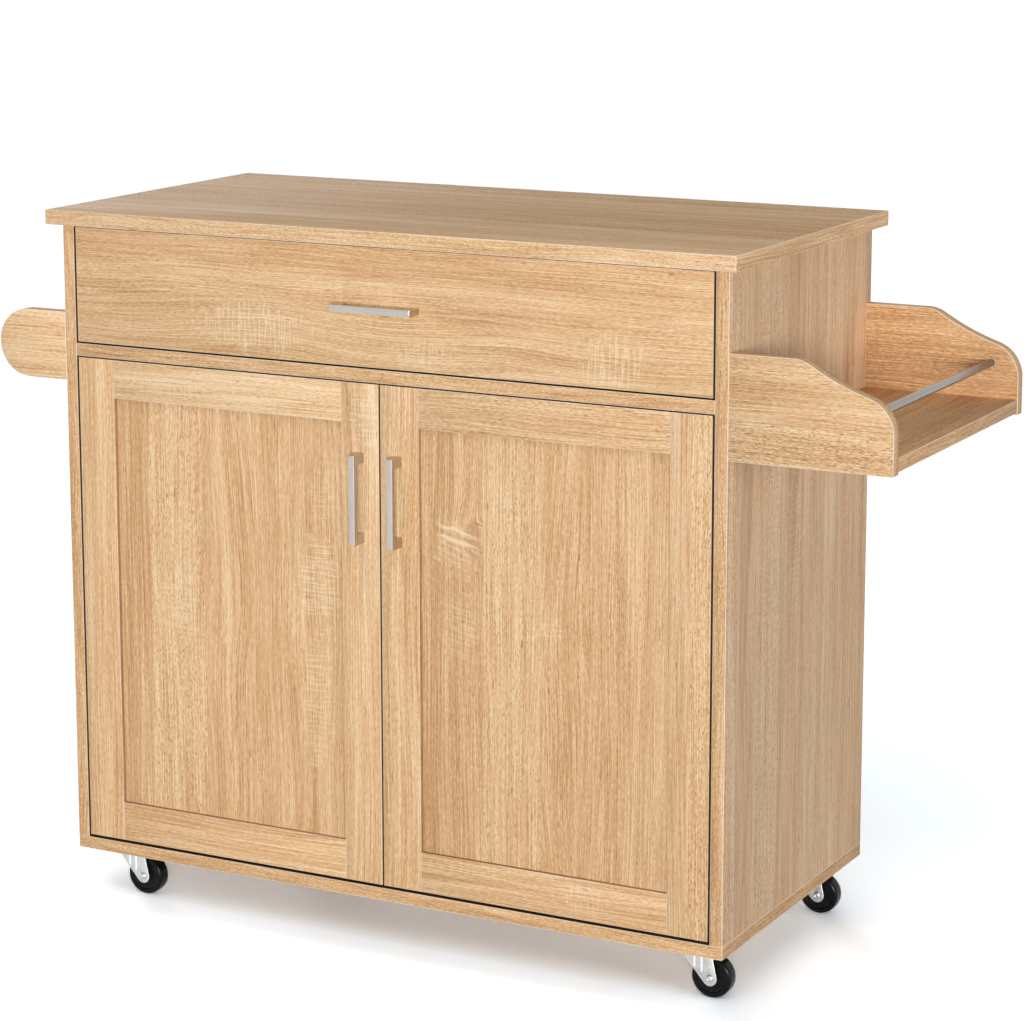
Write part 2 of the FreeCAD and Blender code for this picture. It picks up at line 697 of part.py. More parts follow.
def divider_board(catch_screws):
    """The board between the drawer and the cupboard."""
    blank = block("divider_board_blank", about("centre_x", "inner_half"), ("front", "back_front"),
                  ("divider_low", "divider_top"))
    tools = [hole for _, hole in catch_screws]
    for cams in divider_fittings.values():
        for _, bore, _, hole in cams:
            tools += [bore, hole]
    return cut("divider_board", blank, *tools)


def back_panel():
    """The thin back, held in the side panels' grooves."""
    reach = "inner_half + groove_depth - groove_play"
    return block("back_panel", about("centre_x", reach), ("back_front", "back_rear"),
                 ("floor_top", "carcass_top"))


def adjustable_shelf():
    """The loose shelf on its pins."""
    return block("adjustable_shelf", about("centre_x", "inner_half - shelf_play"),
                 ("shelf_front", "shelf_rear"), ("shelf_low", "shelf_low + board"))


# Catches

def door_catch(side):
    """A magnetic catch under the divider board, and its two screws."""
    near, far = "door_near + catch_inset", "door_near + catch_inset + catch_length"
    catch_front = "fronts_rear + strike_gauge + catch_gap"
    y = (catch_front, f"{catch_front} + catch_depth")
    case = block("case", across(side, near, far), y, ("divider_low - catch_height", "divider_low"))
    ears = block("ears", across(side, f"{near} - catch_ear", f"{far} + catch_ear"), y,
                 ("divider_low - catch_ear_gauge", "divider_low"))
    screws = [
        drive("z", (at(side, reach), f"{catch_front} + catch_depth / 2"), "divider_low - catch_ear_gauge", 1)
        for reach in (f"{near} - catch_ear / 2", f"{far} + catch_ear / 2")
    ]
    return cut("catch", join("catch_case", case, ears), *[hole for _, hole in screws]), screws


def strike_plate(side):
    """The steel plate on the door that the catch holds."""
    near, far = "door_near + catch_inset", "door_near + catch_inset + catch_length"
    top = "divider_low - catch_height / 2 + strike_height / 2 - door_head_gap"
    return block("strike", across(side, near, far), ("fronts_rear", "fronts_rear + strike_gauge"),
                 (f"{top} - strike_height", top))


# Spice rack

def outer_meeting_point(first, first_reach, second, second_reach):
    """The point at the given reaches from two centres, on the upper right of the line between them."""
    line = second - first
    gap = line.Length
    along = (first_reach ** 2 - second_reach ** 2 + gap ** 2) / (2 * gap)
    aside = (first_reach ** 2 - along ** 2) ** 0.5
    unit = line.normalize()
    return first + unit * along + V(-unit.y, unit.x, 0) * aside


def rack_panel(end_name):
    """A rack panel: level at the cabinet, then down an S curve to a round outer corner."""
    name = f"rack_{end_name}_panel"
    body = doc.addObject("PartDesign::Body", name + "_board")
    sketch = sketch_on(body, "XZ_Plane")
    reach, height = value("rack_reach"), value("rack_height")
    flat, lip = value("rack_flat"), value("lip_height")
    corner_r, dip_r, shoulder_r = value("corner_radius"), value("dip_radius"), value("shoulder_radius")
    corner = V(reach - corner_r, lip, 0)
    shoulder = V(flat, height - shoulder_r, 0)
    dip = outer_meeting_point(shoulder, shoulder_r + dip_r, corner, corner_r + dip_r)
    corner_end = corner + (dip - corner).normalize() * corner_r
    shoulder_start = shoulder + (dip - shoulder).normalize() * shoulder_r

    def arc(middle, radius, start, stop):
        circle = Part.Circle(middle, V(0, 0, 1), radius)
        return Part.ArcOfCircle(circle, circle.parameter(start), circle.parameter(stop))

    sketch.addGeometry([
        Part.LineSegment(V(0, 0, 0), V(reach, 0, 0)),
        Part.LineSegment(V(reach, 0, 0), V(reach, lip, 0)),
        arc(corner, corner_r, V(reach, lip, 0), corner_end),
        arc(dip, dip_r, shoulder_start, corner_end),
        arc(shoulder, shoulder_r, shoulder_start, V(flat, height, 0)),
        Part.LineSegment(V(flat, height, 0), V(0, height, 0)),
        Part.LineSegment(V(0, height, 0), V(0, 0, 0)),
    ], False)
    foot, edge, corner_arc, dip_arc, shoulder_arc, level, heel = range(7)
    hold(sketch, "Coincident", foot, 1, -1, 1)
    hold(sketch, "Horizontal", foot)
    hold(sketch, "Coincident", foot, 2, edge, 1)
    hold(sketch, "Vertical", edge)
    hold(sketch, "Tangent", edge, 2, corner_arc, 1)
    hold(sketch, "Tangent", corner_arc, 2, dip_arc, 2)
    hold(sketch, "Tangent", dip_arc, 1, shoulder_arc, 1)
    hold(sketch, "Tangent", shoulder_arc, 2, level, 1)
    hold(sketch, "Horizontal", level)
    hold(sketch, "Coincident", level, 2, heel, 1)
    hold(sketch, "Vertical", heel)
    hold(sketch, "Coincident", heel, 2, foot, 1)
    hold(sketch, "DistanceX", foot, 1, foot, 2, text="rack_reach")
    hold(sketch, "DistanceY", edge, 1, edge, 2, text="lip_height")
    hold(sketch, "DistanceY", heel, 2, heel, 1, text="rack_height")
    hold(sketch, "DistanceX", level, 2, level, 1, text="rack_flat")
    hold(sketch, "Radius", corner_arc, text="corner_radius")
    hold(sketch, "Radius", dip_arc, text="dip_radius")
    hold(sketch, "Radius", shoulder_arc, text="shoulder_radius")
    pad(body, sketch, "board")
    place(body, at(1, "half_width"), "front + board" if end_name == "front" else "rear", "rack_low")
    return cut(name, body, rail_holes["rack"], *[hole for _, hole in rack_dowels[end_name]])


def rack_tray():
    """The rack's shelf, between its two panels."""
    blank = block("rack_tray_blank", across(1, "half_width", "rack_far - tray_inset"),
                  ("front + board", "rear - board"), ("tray_low", "tray_low + board"))
    return cut("rack_tray", blank, *[hole for _, hole in tray_screws])


# Towel arms

def towel_arm(end_name):
    """A towel arm: a straight board with a half-round outer end."""
    name = f"towel_{end_name}_arm"
    body = doc.addObject("PartDesign::Body", name + "_board")
    sketch = sketch_on(body, "XZ_Plane")
    straight, height = value("arm_straight"), value("arm_height")
    circle = Part.Circle(V(straight, height / 2, 0), V(0, 0, 1), height / 2)
    foot_end, top_end = V(straight, 0, 0), V(straight, height, 0)
    sketch.addGeometry([
        Part.LineSegment(V(0, 0, 0), foot_end),
        Part.ArcOfCircle(circle, circle.parameter(foot_end), circle.parameter(top_end)),
        Part.LineSegment(top_end, V(0, height, 0)),
        Part.LineSegment(V(0, height, 0), V(0, 0, 0)),
    ], False)
    foot, nose, top, heel = range(4)
    hold(sketch, "Coincident", foot, 1, -1, 1)
    hold(sketch, "Horizontal", foot)
    hold(sketch, "Tangent", foot, 2, nose, 1)
    hold(sketch, "Tangent", nose, 2, top, 1)
    hold(sketch, "Horizontal", top)
    hold(sketch, "Coincident", top, 2, heel, 1)
    hold(sketch, "Vertical", heel)
    hold(sketch, "Coincident", heel, 2, foot, 1)
    hold(sketch, "DistanceX", foot, 1, foot, 2, text="arm_straight")
    hold(sketch, "DistanceY", heel, 2, heel, 1, text="arm_height")
    pad(body, sketch, "board")
    low_y = "front" if end_name == "front" else "rear - board"
    place(body, at(-1, "half_width"), low_y, "arm_low", HALF_TURN_ABOUT_Z)
    return cut(name, body, rail_holes["towel"], *[hole for _, hole in arm_dowels[end_name]])


# Casters

def corner_places():
    """Name and swivel axis of each caster."""
    for end_name, end in ENDS.items():
        for side_name, side in SIDES.items():
            x = at(side, "half_width - caster_side_inset")
            yield f"{end_name}_{side_name}", x, end_y(end, "caster_end_inset")


def caster_mount(x, y):
    """The plate with its ball race, its kingpin and its four screws."""
    shift = "plate_size / 2 - caster_screw_inset"
    screws = [
        drive("z", (f"{x} + {across_way} * ({shift})", f"{y} + {end_way} * ({shift})"), "plate_low", 1)
        for across_way in (-1, 1) for end_way in (-1, 1)
    ]
    flat = block("plate", about(x, "plate_size / 2"), about(y, "plate_size / 2"), ("plate_low", "floor_gap"))
    race = rod("race", "z", (x, y), ("plate_low - race_height", "plate_low"), "race_radius")
    seat = rod("kingpin_seat", "z", (x, y), ("plate_low - race_height - overrun", "floor_gap + overrun"),
               "kingpin_radius + swivel_play")
    plate = cut("mount", join("plate_and_race", flat, race), seat, *[hole for _, hole in screws])
    shank = rod("shank", "z", (x, y), ("fork_top - fork_gauge - race_gap", "floor_gap"), "kingpin_radius")
    low = "fork_top - fork_gauge - race_gap"
    head = rod("rivet", "z", (x, y), (f"{low} - kingpin_head", low), "kingpin_head_radius")
    return plate, join("kingpin", shank, head), screws


def caster_fork(name, x, y):
    """The pressed fork: two tapered legs under a round crown."""
    axle_x, rise = f"{x} + caster_trail", "fork_top - wheel_radius"
    fore, aft = "-(caster_trail + fork_fore)", "fork_aft - caster_trail"
    skirt_foot = f"{rise} - fork_skirt"
    body = doc.addObject("PartDesign::Body", name + "_legs")
    sketch = sketch_on(body, "XZ_Plane")
    radius = value("fork_end_radius")
    circle = Part.Circle(V(0, 0, 0), V(0, 0, 1), radius)
    top_left, top_right = V(value(fore), value(rise), 0), V(value(aft), value(rise), 0)
    knee = V(value(fore), value(skirt_foot), 0)
    left_touch, right_touch = tangent_point(knee, radius, 1), tangent_point(top_right, radius, -1)
    sketch.addGeometry([
        Part.LineSegment(top_left, knee),
        Part.LineSegment(knee, left_touch),
        Part.ArcOfCircle(circle, circle.parameter(left_touch), circle.parameter(right_touch)),
        Part.LineSegment(right_touch, top_right),
        Part.LineSegment(top_right, top_left),
    ], False)
    skirt, lead, toe, trail, crown = range(5)
    hold(sketch, "Coincident", crown, 2, skirt, 1)
    hold(sketch, "Coincident", skirt, 2, lead, 1)
    hold(sketch, "Tangent", lead, 2, toe, 1)
    hold(sketch, "Tangent", toe, 2, trail, 1)
    hold(sketch, "Coincident", trail, 2, crown, 1)
    hold(sketch, "Vertical", skirt)
    hold(sketch, "Horizontal", crown)
    hold(sketch, "Coincident", toe, 3, -1, 1)
    hold(sketch, "Radius", toe, text="fork_end_radius")
    hold(sketch, "DistanceX", -1, 1, skirt, 1, text=fore)
    hold(sketch, "DistanceY", -1, 1, skirt, 1, text=rise)
    hold(sketch, "DistanceY", skirt, 2, skirt, 1, text="fork_skirt")
    hold(sketch, "DistanceX", -1, 1, trail, 2, text=aft)
    pad(body, sketch, "fork_width", symmetric=True)
    place(body, axle_x, y, "wheel_radius")
    disc = rod("crown", "z", (x, y), ("fork_top - fork_gauge", "fork_top"), "race_radius")
    inside = block("between_legs",
                   (f"{x} - fork_fore - overrun", f"{axle_x} + fork_end_radius + overrun"),
                   about(y, "fork_width / 2 - fork_gauge"),
                   ("wheel_radius - fork_end_radius - overrun", "fork_top - fork_gauge"))
    eye = rod("kingpin_hole", "z", (x, y), ("fork_top - fork_gauge - overrun", "fork_top + overrun"),
              "kingpin_radius + swivel_play")
    axle_hole = rod("axle_hole", "y", (axle_x, "wheel_radius"), about(y, "fork_width / 2 + overrun"),
                    "axle_radius")
    return cut(name, join(name + "_pressing", cut("legs", body, inside), disc), eye, axle_hole)


def tangent_point(spot, radius, way):
    """Where a line from the spot touches a circle about the origin, on the lower side of it."""
    reach = spot.Length
    toward = V(spot.x, spot.y, 0).normalize()
    square = V(-toward.y, toward.x, 0) * way
    return toward * (radius ** 2 / reach) + square * (radius * (1 - (radius / reach) ** 2) ** 0.5)


def caster_axle(name, x, y):
    """The riveted axle."""
    middle = (f"{x} + caster_trail", "wheel_radius")
    outer = "fork_width / 2 + axle_head"
    shank = rod("shank", "y", middle, about(y, "fork_width / 2"), "axle_radius")
    near = rod("rivet", "y", middle, (f"{y} - ({outer})", f"{y} - fork_width / 2"), "axle_head_radius")
    far = rod("rivet", "y", middle, (f"{y} + fork_width / 2", f"{y} + {outer}"), "axle_head_radius")
    return join(name, shank, near, far)


def caster_wheel(name, x, y):
    """The wheel: a rounded tread, a dished web and a hub that reaches nearly to the fork."""
    body = doc.addObject("PartDesign::Body", name)
    sketch = sketch_on(body, "XY_Plane")
    bore, rim, web = "axle_radius + axle_play", "wheel_radius - rim_depth", "wheel_half - dish_depth"
    right_side = [(bore, "hub_half"), ("hub_radius", "hub_half"), ("hub_radius", web), (rim, web),
                  (rim, "wheel_half"), ("wheel_radius", "wheel_half")]
    left_side = [(radius, f"-({across_axle})") for radius, across_axle in reversed(right_side)]
    draw_polygon(sketch, right_side + left_side)
    turned = body.newObject("PartDesign::Revolution", name + "_turned")
    turned.Profile = sketch
    turned.ReferenceAxis = (sketch, ["V_Axis"])
    turned.Angle = 360

    def at_tread_edge(edge):
        is_ring = edge.Curve.TypeId == "Part::GeomCircle"
        return is_ring and edge.Curve.Radius > value("wheel_radius - rim_depth / 2")

    round_edges(body, turned, at_tread_edge, "wheel_round")
    return place(body, f"{x} + caster_trail", y, "wheel_radius")


# Doors

def door(name, side):
    """A framed door with its handle, hinge cups and fixings."""
    near, far = "door_near", "door_far"
    inner, outer = "door_near + stile_width", "door_far - stile_width"
    rail_top, rail_foot = "door_high - top_rail_width", "door_low + bottom_rail_width"
    y = ("front", "fronts_rear")
    panel_front = "front + panel_recess"
    handle_x, handle_z = at(side, "door_near + handle_inset"), "door_high - handle_drop"
    handle, handle_screws = bar_handle(f"{name}_handle", handle_x, handle_z, upright=True)
    cups = [hinge_cup(side, level) for level in hinge_levels()]
    cup_screws = [screw for cup in cups for screw in cup[3]]

    bite = "panel_bite + groove_play"
    groove = block("panel_groove", across(side, f"{inner} - ({bite})", f"{outer} + {bite}"),
                   (f"{panel_front} - groove_play", f"{panel_front} + panel_thickness + groove_play"),
                   (f"{rail_foot} - ({bite})", f"{rail_top} + {bite}"))

    def frame_piece(label, x, z, *tools):
        blank = block(f"{label}_blank", x, y, z)
        keep(cut(label, blank, groove, *tools))

    full_height = ("door_low", "door_high")
    frame_piece(f"{name}_outer_stile", across(side, outer, far), full_height,
                *[bore for _, _, bore, _ in cups], *[hole for _, hole in cup_screws])
    frame_piece(f"{name}_inner_stile", across(side, near, inner), full_height,
                *[hole for _, hole in handle_screws])
    frame_piece(f"{name}_top_rail", across(side, inner, outer), (rail_top, "door_high"))
    frame_piece(f"{name}_bottom_rail", across(side, inner, outer), ("door_low", rail_foot))
    keep(block(f"{name}_panel", across(side, f"{inner} - panel_bite", f"{outer} + panel_bite"),
               (panel_front, f"{panel_front} + panel_thickness"),
               (f"{rail_foot} - panel_bite", f"{rail_top} + panel_bite")))
    keep(handle)
    keep(group(f"{name}_hinge_cups", [piece for cup in cups for piece in cup[:2]]))
    screws = [screw for screw, _ in handle_screws + cup_screws]
    keep(group(f"{name}_fixings", [strike_plate(side)] + screws))


# Drawer

def drawer():
    """The drawer: front, box, handle, slide rails and screws."""
    handle, handle_screws = bar_handle("drawer_handle", "centre_x", "(drawer_low + drawer_high) / 2",
                                       upright=False)
    rails = {name: drawer_rail(side) for name, side in SIDES.items()}
    inner = "box_half - drawer_board"
    bite = "groove_depth - groove_play"
    inside_rear = "box_rear - drawer_board"
    groove = block("floor_groove", about("centre_x", f"{inner} + groove_depth"),
                   ("fronts_rear - groove_depth", f"{inside_rear} + groove_depth"),
                   ("box_floor - groove_play", "box_floor + drawer_floor + groove_play"))
    box_dowels, back_screws = {}, {}
    for name, side in SIDES.items():
        ends = ("fronts_rear - dowel_bite", "fronts_rear + dowel_reach")
        middle = at(side, "box_half - drawer_board / 2")
        box_dowels[name] = [
            peg("y", (middle, level), ends, "box_dowel_radius", "dowel_play")
            for level in ("box_low + drawer_side_height / 4", "box_high - drawer_side_height / 4")
        ]
        back_screws[name] = [
            drive("x", ("box_rear - drawer_board / 2", level), at(side, "box_half"), -side,
                  "drawer_board + screw_length")
            for level in ("box_low + drawer_side_height / 4", "box_high - drawer_side_height / 8")
        ]
    all_dowels = [pair for pairs in box_dowels.values() for pair in pairs]
    all_back_screws = [pair for pairs in back_screws.values() for pair in pairs]

    front = block("drawer_front_blank", about("centre_x", "door_far"), ("front", "fronts_rear"),
                  ("drawer_low", "drawer_high"))
    keep(cut("drawer_front", front, groove, *[hole for _, hole in handle_screws + all_dowels]))
    for name, side in SIDES.items():
        label = f"drawer_{name}_side"
        blank = block(f"{label}_blank", across(side, inner, "box_half"), ("fronts_rear", "box_rear"),
                      ("box_low", "box_high"))
        pairs = rails[name][1] + box_dowels[name] + back_screws[name]
        keep(cut(label, blank, groove, *[hole for _, hole in pairs]))
    back = block("drawer_back_blank", about("centre_x", inner), (inside_rear, "box_rear"),
                 ("box_low", "box_high"))
    keep(cut("drawer_back", back, groove, *[hole for _, hole in all_back_screws]))
    keep(block("drawer_bottom", about("centre_x", f"{inner} + {bite}"),
               (f"fronts_rear - ({bite})", f"{inside_rear} + {bite}"),
               ("box_floor", "box_floor + drawer_floor")))
    keep(handle)
    keep(group("drawer_slide_rails", [rail for rail, _ in rails.values()]))
    rail_screws = [pair for _, pairs in rails.values() for pair in pairs]
    keep(group("drawer_screws", [screw for screw, _ in handle_screws + rail_screws + all_back_screws]))
    keep(group("drawer_dowels", [dowel for dowel, _ in all_dowels]))


# The cabinet and what is fixed to it
rail_ends = ("front + board - rail_bite", "rear - board + rail_bite")
rack_rail, rack_seat = peg("y", (at(1, "rail_reach"), "rail_z"), rail_ends, "rail_radius", "rail_play")
towel_bar, towel_seat = peg("y", (at(-1, "bar_reach"), "bar_z"), rail_ends, "bar_radius", "rail_play")
rail_holes = {"rack": rack_seat, "towel": towel_seat}

slides = {name: cabinet_rail(side) for name, side in SIDES.items()}
hinges = {name: [hinge_arm(side, level) for level in hinge_levels()] for name, side in SIDES.items()}
catches = [door_catch(side) for side in SIDES.values()]
mounts = {name: caster_mount(x, y) for name, x, y in corner_places()}
caster_screws = [screw for _, _, screws in mounts.values() for screw in screws]
catch_screws = [screw for _, screws in catches for screw in screws]

keep(tabletop())
for name in SIDES:
    hinge_screws = [screw for _, screws in hinges[name] for screw in screws]
    keep(side_panel(name, slides[name][1], hinge_screws))
keep(bottom_board(caster_screws))
keep(divider_board(catch_screws))
keep(back_panel())
keep(adjustable_shelf())
keep(group("shelf_pins", [pin for side in SIDES.values() for pin in shelf_pegs(side)]))
all_cams = [fit for fits in (carcass_fittings, divider_fittings) for cams in fits.values() for fit in cams]
keep(group("cam_locks", [disc for disc, _, _, _ in all_cams]))
keep(group("cam_bolts", [bolt for _, _, bolt, _ in all_cams]))
keep(group("end_dowels", [dowel for dowels in (rack_dowels, arm_dowels)
                          for pegs in dowels.values() for dowel, _ in pegs]))
keep(group("cabinet_slide_rails", [rail for rail, _ in slides.values()]))
keep(group("hinge_arms", [arm for arms in hinges.values() for arm, _ in arms]))
keep(group("door_catches", [catch for catch, _ in catches]))
for name in ENDS:
    keep(rack_panel(name))
keep(rack_tray())
rack_rail.Label = "rack_rail"
keep(rack_rail)
for name in ENDS:
    keep(towel_arm(name))
towel_bar.Label = "towel_bar"
keep(towel_bar)
keep(group("caster_plates", [piece for plate, kingpin, _ in mounts.values() for piece in (plate, kingpin)]))
fixed_screws = caster_screws + catch_screws + tray_screws
fixed_screws += [screw for _, screws in slides.values() for screw in screws]
fixed_screws += [screw for arms in hinges.values() for _, screws in arms for screw in screws]
keep(group("cabinet_screws", [screw for screw, _ in fixed_screws]))

drawer()
for name, side in SIDES.items():
    door(f"{name}_door", side)
for name, x, y in corner_places():
    keep(caster_fork(f"{name}_fork", x, y))
    keep(caster_axle(f"{name}_axle", x, y))
    keep(caster_wheel(f"{name}_wheel", x, y))

# Check every object before anything is written
doc.recompute()
failed = [thing.Label for thing in doc.Objects if {"Invalid", "Error"} & set(thing.State)]
if failed:
    raise RuntimeError("objects that failed: " + ", ".join(failed))
for thing in parts:
    if thing.Shape.isNull() or not thing.Shape.isValid():
        raise RuntimeError("sub-part without a valid shape: " + thing.Label)

os.makedirs("parts", exist_ok=True)
for thing in parts:
    thing.Shape.exportStep(os.path.join("parts", thing.Label + ".step"))
print(len(parts), "sub-parts written")
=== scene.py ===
"""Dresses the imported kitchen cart: oak laminate boards, metal fittings, casters, a camera and soft light."""

import json
import math
import random

import bmesh
import bpy
from mathutils import Matrix, Vector


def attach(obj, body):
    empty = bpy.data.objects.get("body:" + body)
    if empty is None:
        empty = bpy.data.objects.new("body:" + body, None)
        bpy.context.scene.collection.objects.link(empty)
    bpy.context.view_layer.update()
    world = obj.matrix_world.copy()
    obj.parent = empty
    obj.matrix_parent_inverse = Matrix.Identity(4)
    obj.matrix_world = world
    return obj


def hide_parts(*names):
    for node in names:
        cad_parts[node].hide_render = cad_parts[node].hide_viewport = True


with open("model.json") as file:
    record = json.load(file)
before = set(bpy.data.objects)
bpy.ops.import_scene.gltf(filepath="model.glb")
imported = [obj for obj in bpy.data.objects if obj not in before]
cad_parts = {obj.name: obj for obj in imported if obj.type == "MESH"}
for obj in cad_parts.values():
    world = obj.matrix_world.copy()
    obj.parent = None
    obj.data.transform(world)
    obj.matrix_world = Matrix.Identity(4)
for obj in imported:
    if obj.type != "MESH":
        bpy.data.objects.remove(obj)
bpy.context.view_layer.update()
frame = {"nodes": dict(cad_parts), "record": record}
NODES = frame["nodes"]
BODY_OF = {node: body for body, nodes in frame["record"]["behaviour"]["bodies"].items() for node in nodes}
SLOT_OF = {part["node"]: part["material_slot"] for part in frame["record"]["subparts"]}
MM = 0.001
MM_PER_METRE = 1000.0
AXES = {"x": 0, "y": 1, "z": 2}


# Node trees

class Net:
    """Short calls for making and linking the nodes of a material or a world."""

    def __init__(self, owner):
        owner.use_nodes = True
        self.owner = owner
        self.tree = owner.node_tree

    def node(self, kind, **settings):
        made = self.tree.nodes.new("ShaderNode" + kind)
        for key, value in settings.items():
            setattr(made, key, value)
        return made

    def feed(self, socket, value):
        """Link another node's output to a socket, or set the socket's own value."""
        if isinstance(value, bpy.types.NodeSocket):
            self.tree.links.new(value, socket)
        else:
            socket.default_value = value

    def math(self, operation, *values, clamp=False):
        made = self.node("Math", operation=operation, use_clamp=clamp)
        for socket, value in zip(made.inputs, values):
            self.feed(socket, value)
        return made.outputs[0]

    def chain(self, operation, values):
        """One operation between the first two values, then between that and the next, and so on."""
        total = values[0]
        for value in values[1:]:
            total = self.math(operation, total, value)
        return total

    def add(self, *values):
        return self.chain("ADD", values)

    def times(self, *values):
        return self.chain("MULTIPLY", values)

    def most(self, *values):
        return self.chain("MAXIMUM", values)

    def line(self, value, gain, start):
        """The value times a gain, added to a start."""
        return self.math("MULTIPLY_ADD", value, gain, start)

    def off(self, value, gain):
        """The value's distance from one half, times a gain."""
        return self.line(value, gain, -gain / 2)

    def squares(self, *values):
        """The sum of the values' squares."""
        return self.add(*[self.times(value, value) for value in values])

    def split(self, vector):
        made = self.node("SeparateXYZ")
        self.feed(made.inputs[0], vector)
        return made.outputs

    def attribute(self, name, output="Vector"):
        return self.node("Attribute", attribute_name=name).outputs[output]

    def place_in_mm(self):
        """The parts of a point's place in its piece, in millimetres."""
        place = self.split(self.node("TexCoord").outputs["Object"])
        return [self.times(part, MM_PER_METRE) for part in place]

    def noise(self, place, detail=1.0, rough=0.5):
        spot = self.node("CombineXYZ")
        for socket, part in zip(spot.inputs, place):
            self.feed(socket, part)
        made = self.node("TexNoise", noise_dimensions="3D")
        self.feed(made.inputs["Vector"], spot.outputs[0])
        made.inputs["Scale"].default_value = 1.0
        made.inputs["Detail"].default_value = detail
        made.inputs["Roughness"].default_value = rough
        return made.outputs[0]

    def scaled_noise(self, place, scales, detail=1.0, rough=0.5):
        """Noise at a place of three parts, each of them scaled first."""
        return self.noise([self.times(part, scale) for part, scale in zip(place, scales)], detail, rough)

    def step(self, value, zero_at, one_at):
        """0 at one limit and 1 at the other, smooth between them and level beyond them."""
        made = self.node("MapRange", interpolation_type="SMOOTHSTEP")
        for name, number in (("Value", value), ("From Min", zero_at), ("From Max", one_at)):
            self.feed(made.inputs[name], number)
        return made.outputs[0]

    def ramp(self, value, stops):
        made = self.node("ValToRGB")
        self.feed(made.inputs[0], value)
        elements = made.color_ramp.elements
        while len(elements) < len(stops):
            elements.new(0.5)
        for element, (place, colour) in zip(elements, stops):
            element.position = place
            element.color = (*colour, 1)
        return made.outputs[0]

    def mix(self, share, first, second):
        made = self.node("Mix", data_type="RGBA")
        self.feed(made.inputs["Factor"], share)
        for socket, value in ((made.inputs[6], first), (made.inputs[7], second)):
            self.feed(socket, value if isinstance(value, bpy.types.NodeSocket) else (*value, 1))
        return made.outputs[2]

    def seen(self):
        """1 for what the camera sees, also by reflection or through glass, and 0 for all other light."""
        path = self.node("LightPath").outputs
        return self.most(path["Is Camera Ray"], path["Is Transmission Ray"], path["Is Glossy Ray"])


class MaterialNet(Net):
    """The nodes of a new material, with its shader."""

    def __init__(self, name):
        super().__init__(bpy.data.materials.new(name))
        self.shader = self.tree.nodes["Principled BSDF"]

    def bump(self, height, distance, strength):
        made = self.node("Bump")
        made.inputs["Strength"].default_value = strength
        made.inputs["Distance"].default_value = distance
        self.feed(made.inputs["Height"], height)
        self.feed(self.shader.inputs["Normal"], made.outputs[0])

    def set(self, **values):
        for name, value in values.items():
            self.feed(self.shader.inputs[name.replace("_", " ")], value)

    def shine(self, level):
        self.shader.inputs["Specular IOR Level"].default_value = level


class BoardNet(MaterialNet):
    """The nodes of a board's print, with the places along and across its grain in millimetres."""

    def __init__(self, name):
        super().__init__(name)
        along, across, self.seed = self.split(self.attribute("grain"))
        self.along = self.times(along, MM_PER_METRE)
        self.across = self.times(across, MM_PER_METRE)

    def marks(self, x, x_size, y, y_size, shift, detail=0.0, rough=0.5):
        """Noise in marks of about x_size by y_size. Each kind of mark has a shift of its own."""
        kind = self.add(self.seed, shift)
        return self.noise([self.times(x, 1 / x_size), self.times(y, 1 / y_size), kind], detail, rough)


# The oak's colours: the print from dark to light, then what is laid on it, the last three a painted sheen, a
# painted highlight and painted shade
OAK_STOPS = [
    (0.00, (0.415, 0.212, 0.092)),
    (0.28, (0.575, 0.326, 0.150)),
    (0.50, (0.722, 0.448, 0.228)),
    (0.72, (0.835, 0.585, 0.342)),
    (1.00, (0.925, 0.735, 0.505)),
]
OAK_PORE = (0.33, 0.155, 0.065)
OAK_CRACK = (0.24, 0.115, 0.055)
OAK_HEART = (0.45, 0.235, 0.11)
OAK_CREAM = (0.93, 0.735, 0.485)
OAK_PAINTED_SHEEN = (0.75, 0.755, 0.80)
OAK_RIM_HIGHLIGHT = (0.96, 0.86, 0.72)
OAK_PAINTED_GAP_SHADE = (0.034, 0.015, 0.006)


def bent_grain(net, swirl, knot):
    """The place across the grain after its slow bends, its wriggle and its way round a knot."""
    knot_along, knot_across, knot_gain = knot
    wide = net.marks(net.along, 260, net.across, 62, 1.3)
    middling = net.marks(net.along, 95, net.across, 22, 5.1)
    wriggle = net.marks(net.along, 20, net.across, 7, 9.7)
    bend = net.times(net.off(wide, 1.0), net.line(swirl, 54.0, 5.0))
    ripple = net.times(net.off(middling, 1.0), net.line(swirl, 4.0, 1.6))
    from_knot = net.most(net.squares(knot_along, knot_across), 0.7)
    round_knot = net.math("DIVIDE", net.times(knot_across, knot_gain, -17.0), from_knot)
    return net.add(net.across, bend, ripple, net.off(wriggle, 0.5), round_knot)


def oak_pores(net, bent, dash):
    """Short dark pores along the grain, in clusters, with more of them on planks of much dash."""
    dense = net.marks(net.along, 75, bent, 20, 29.1)
    pore = net.marks(net.along, 4.8, bent, 1.1, 33.3)
    limit = net.add(0.775, net.off(dense, -0.16), net.times(dash, -0.10))
    return net.step(net.math("SUBTRACT", pore, limit), -0.03, 0.07)


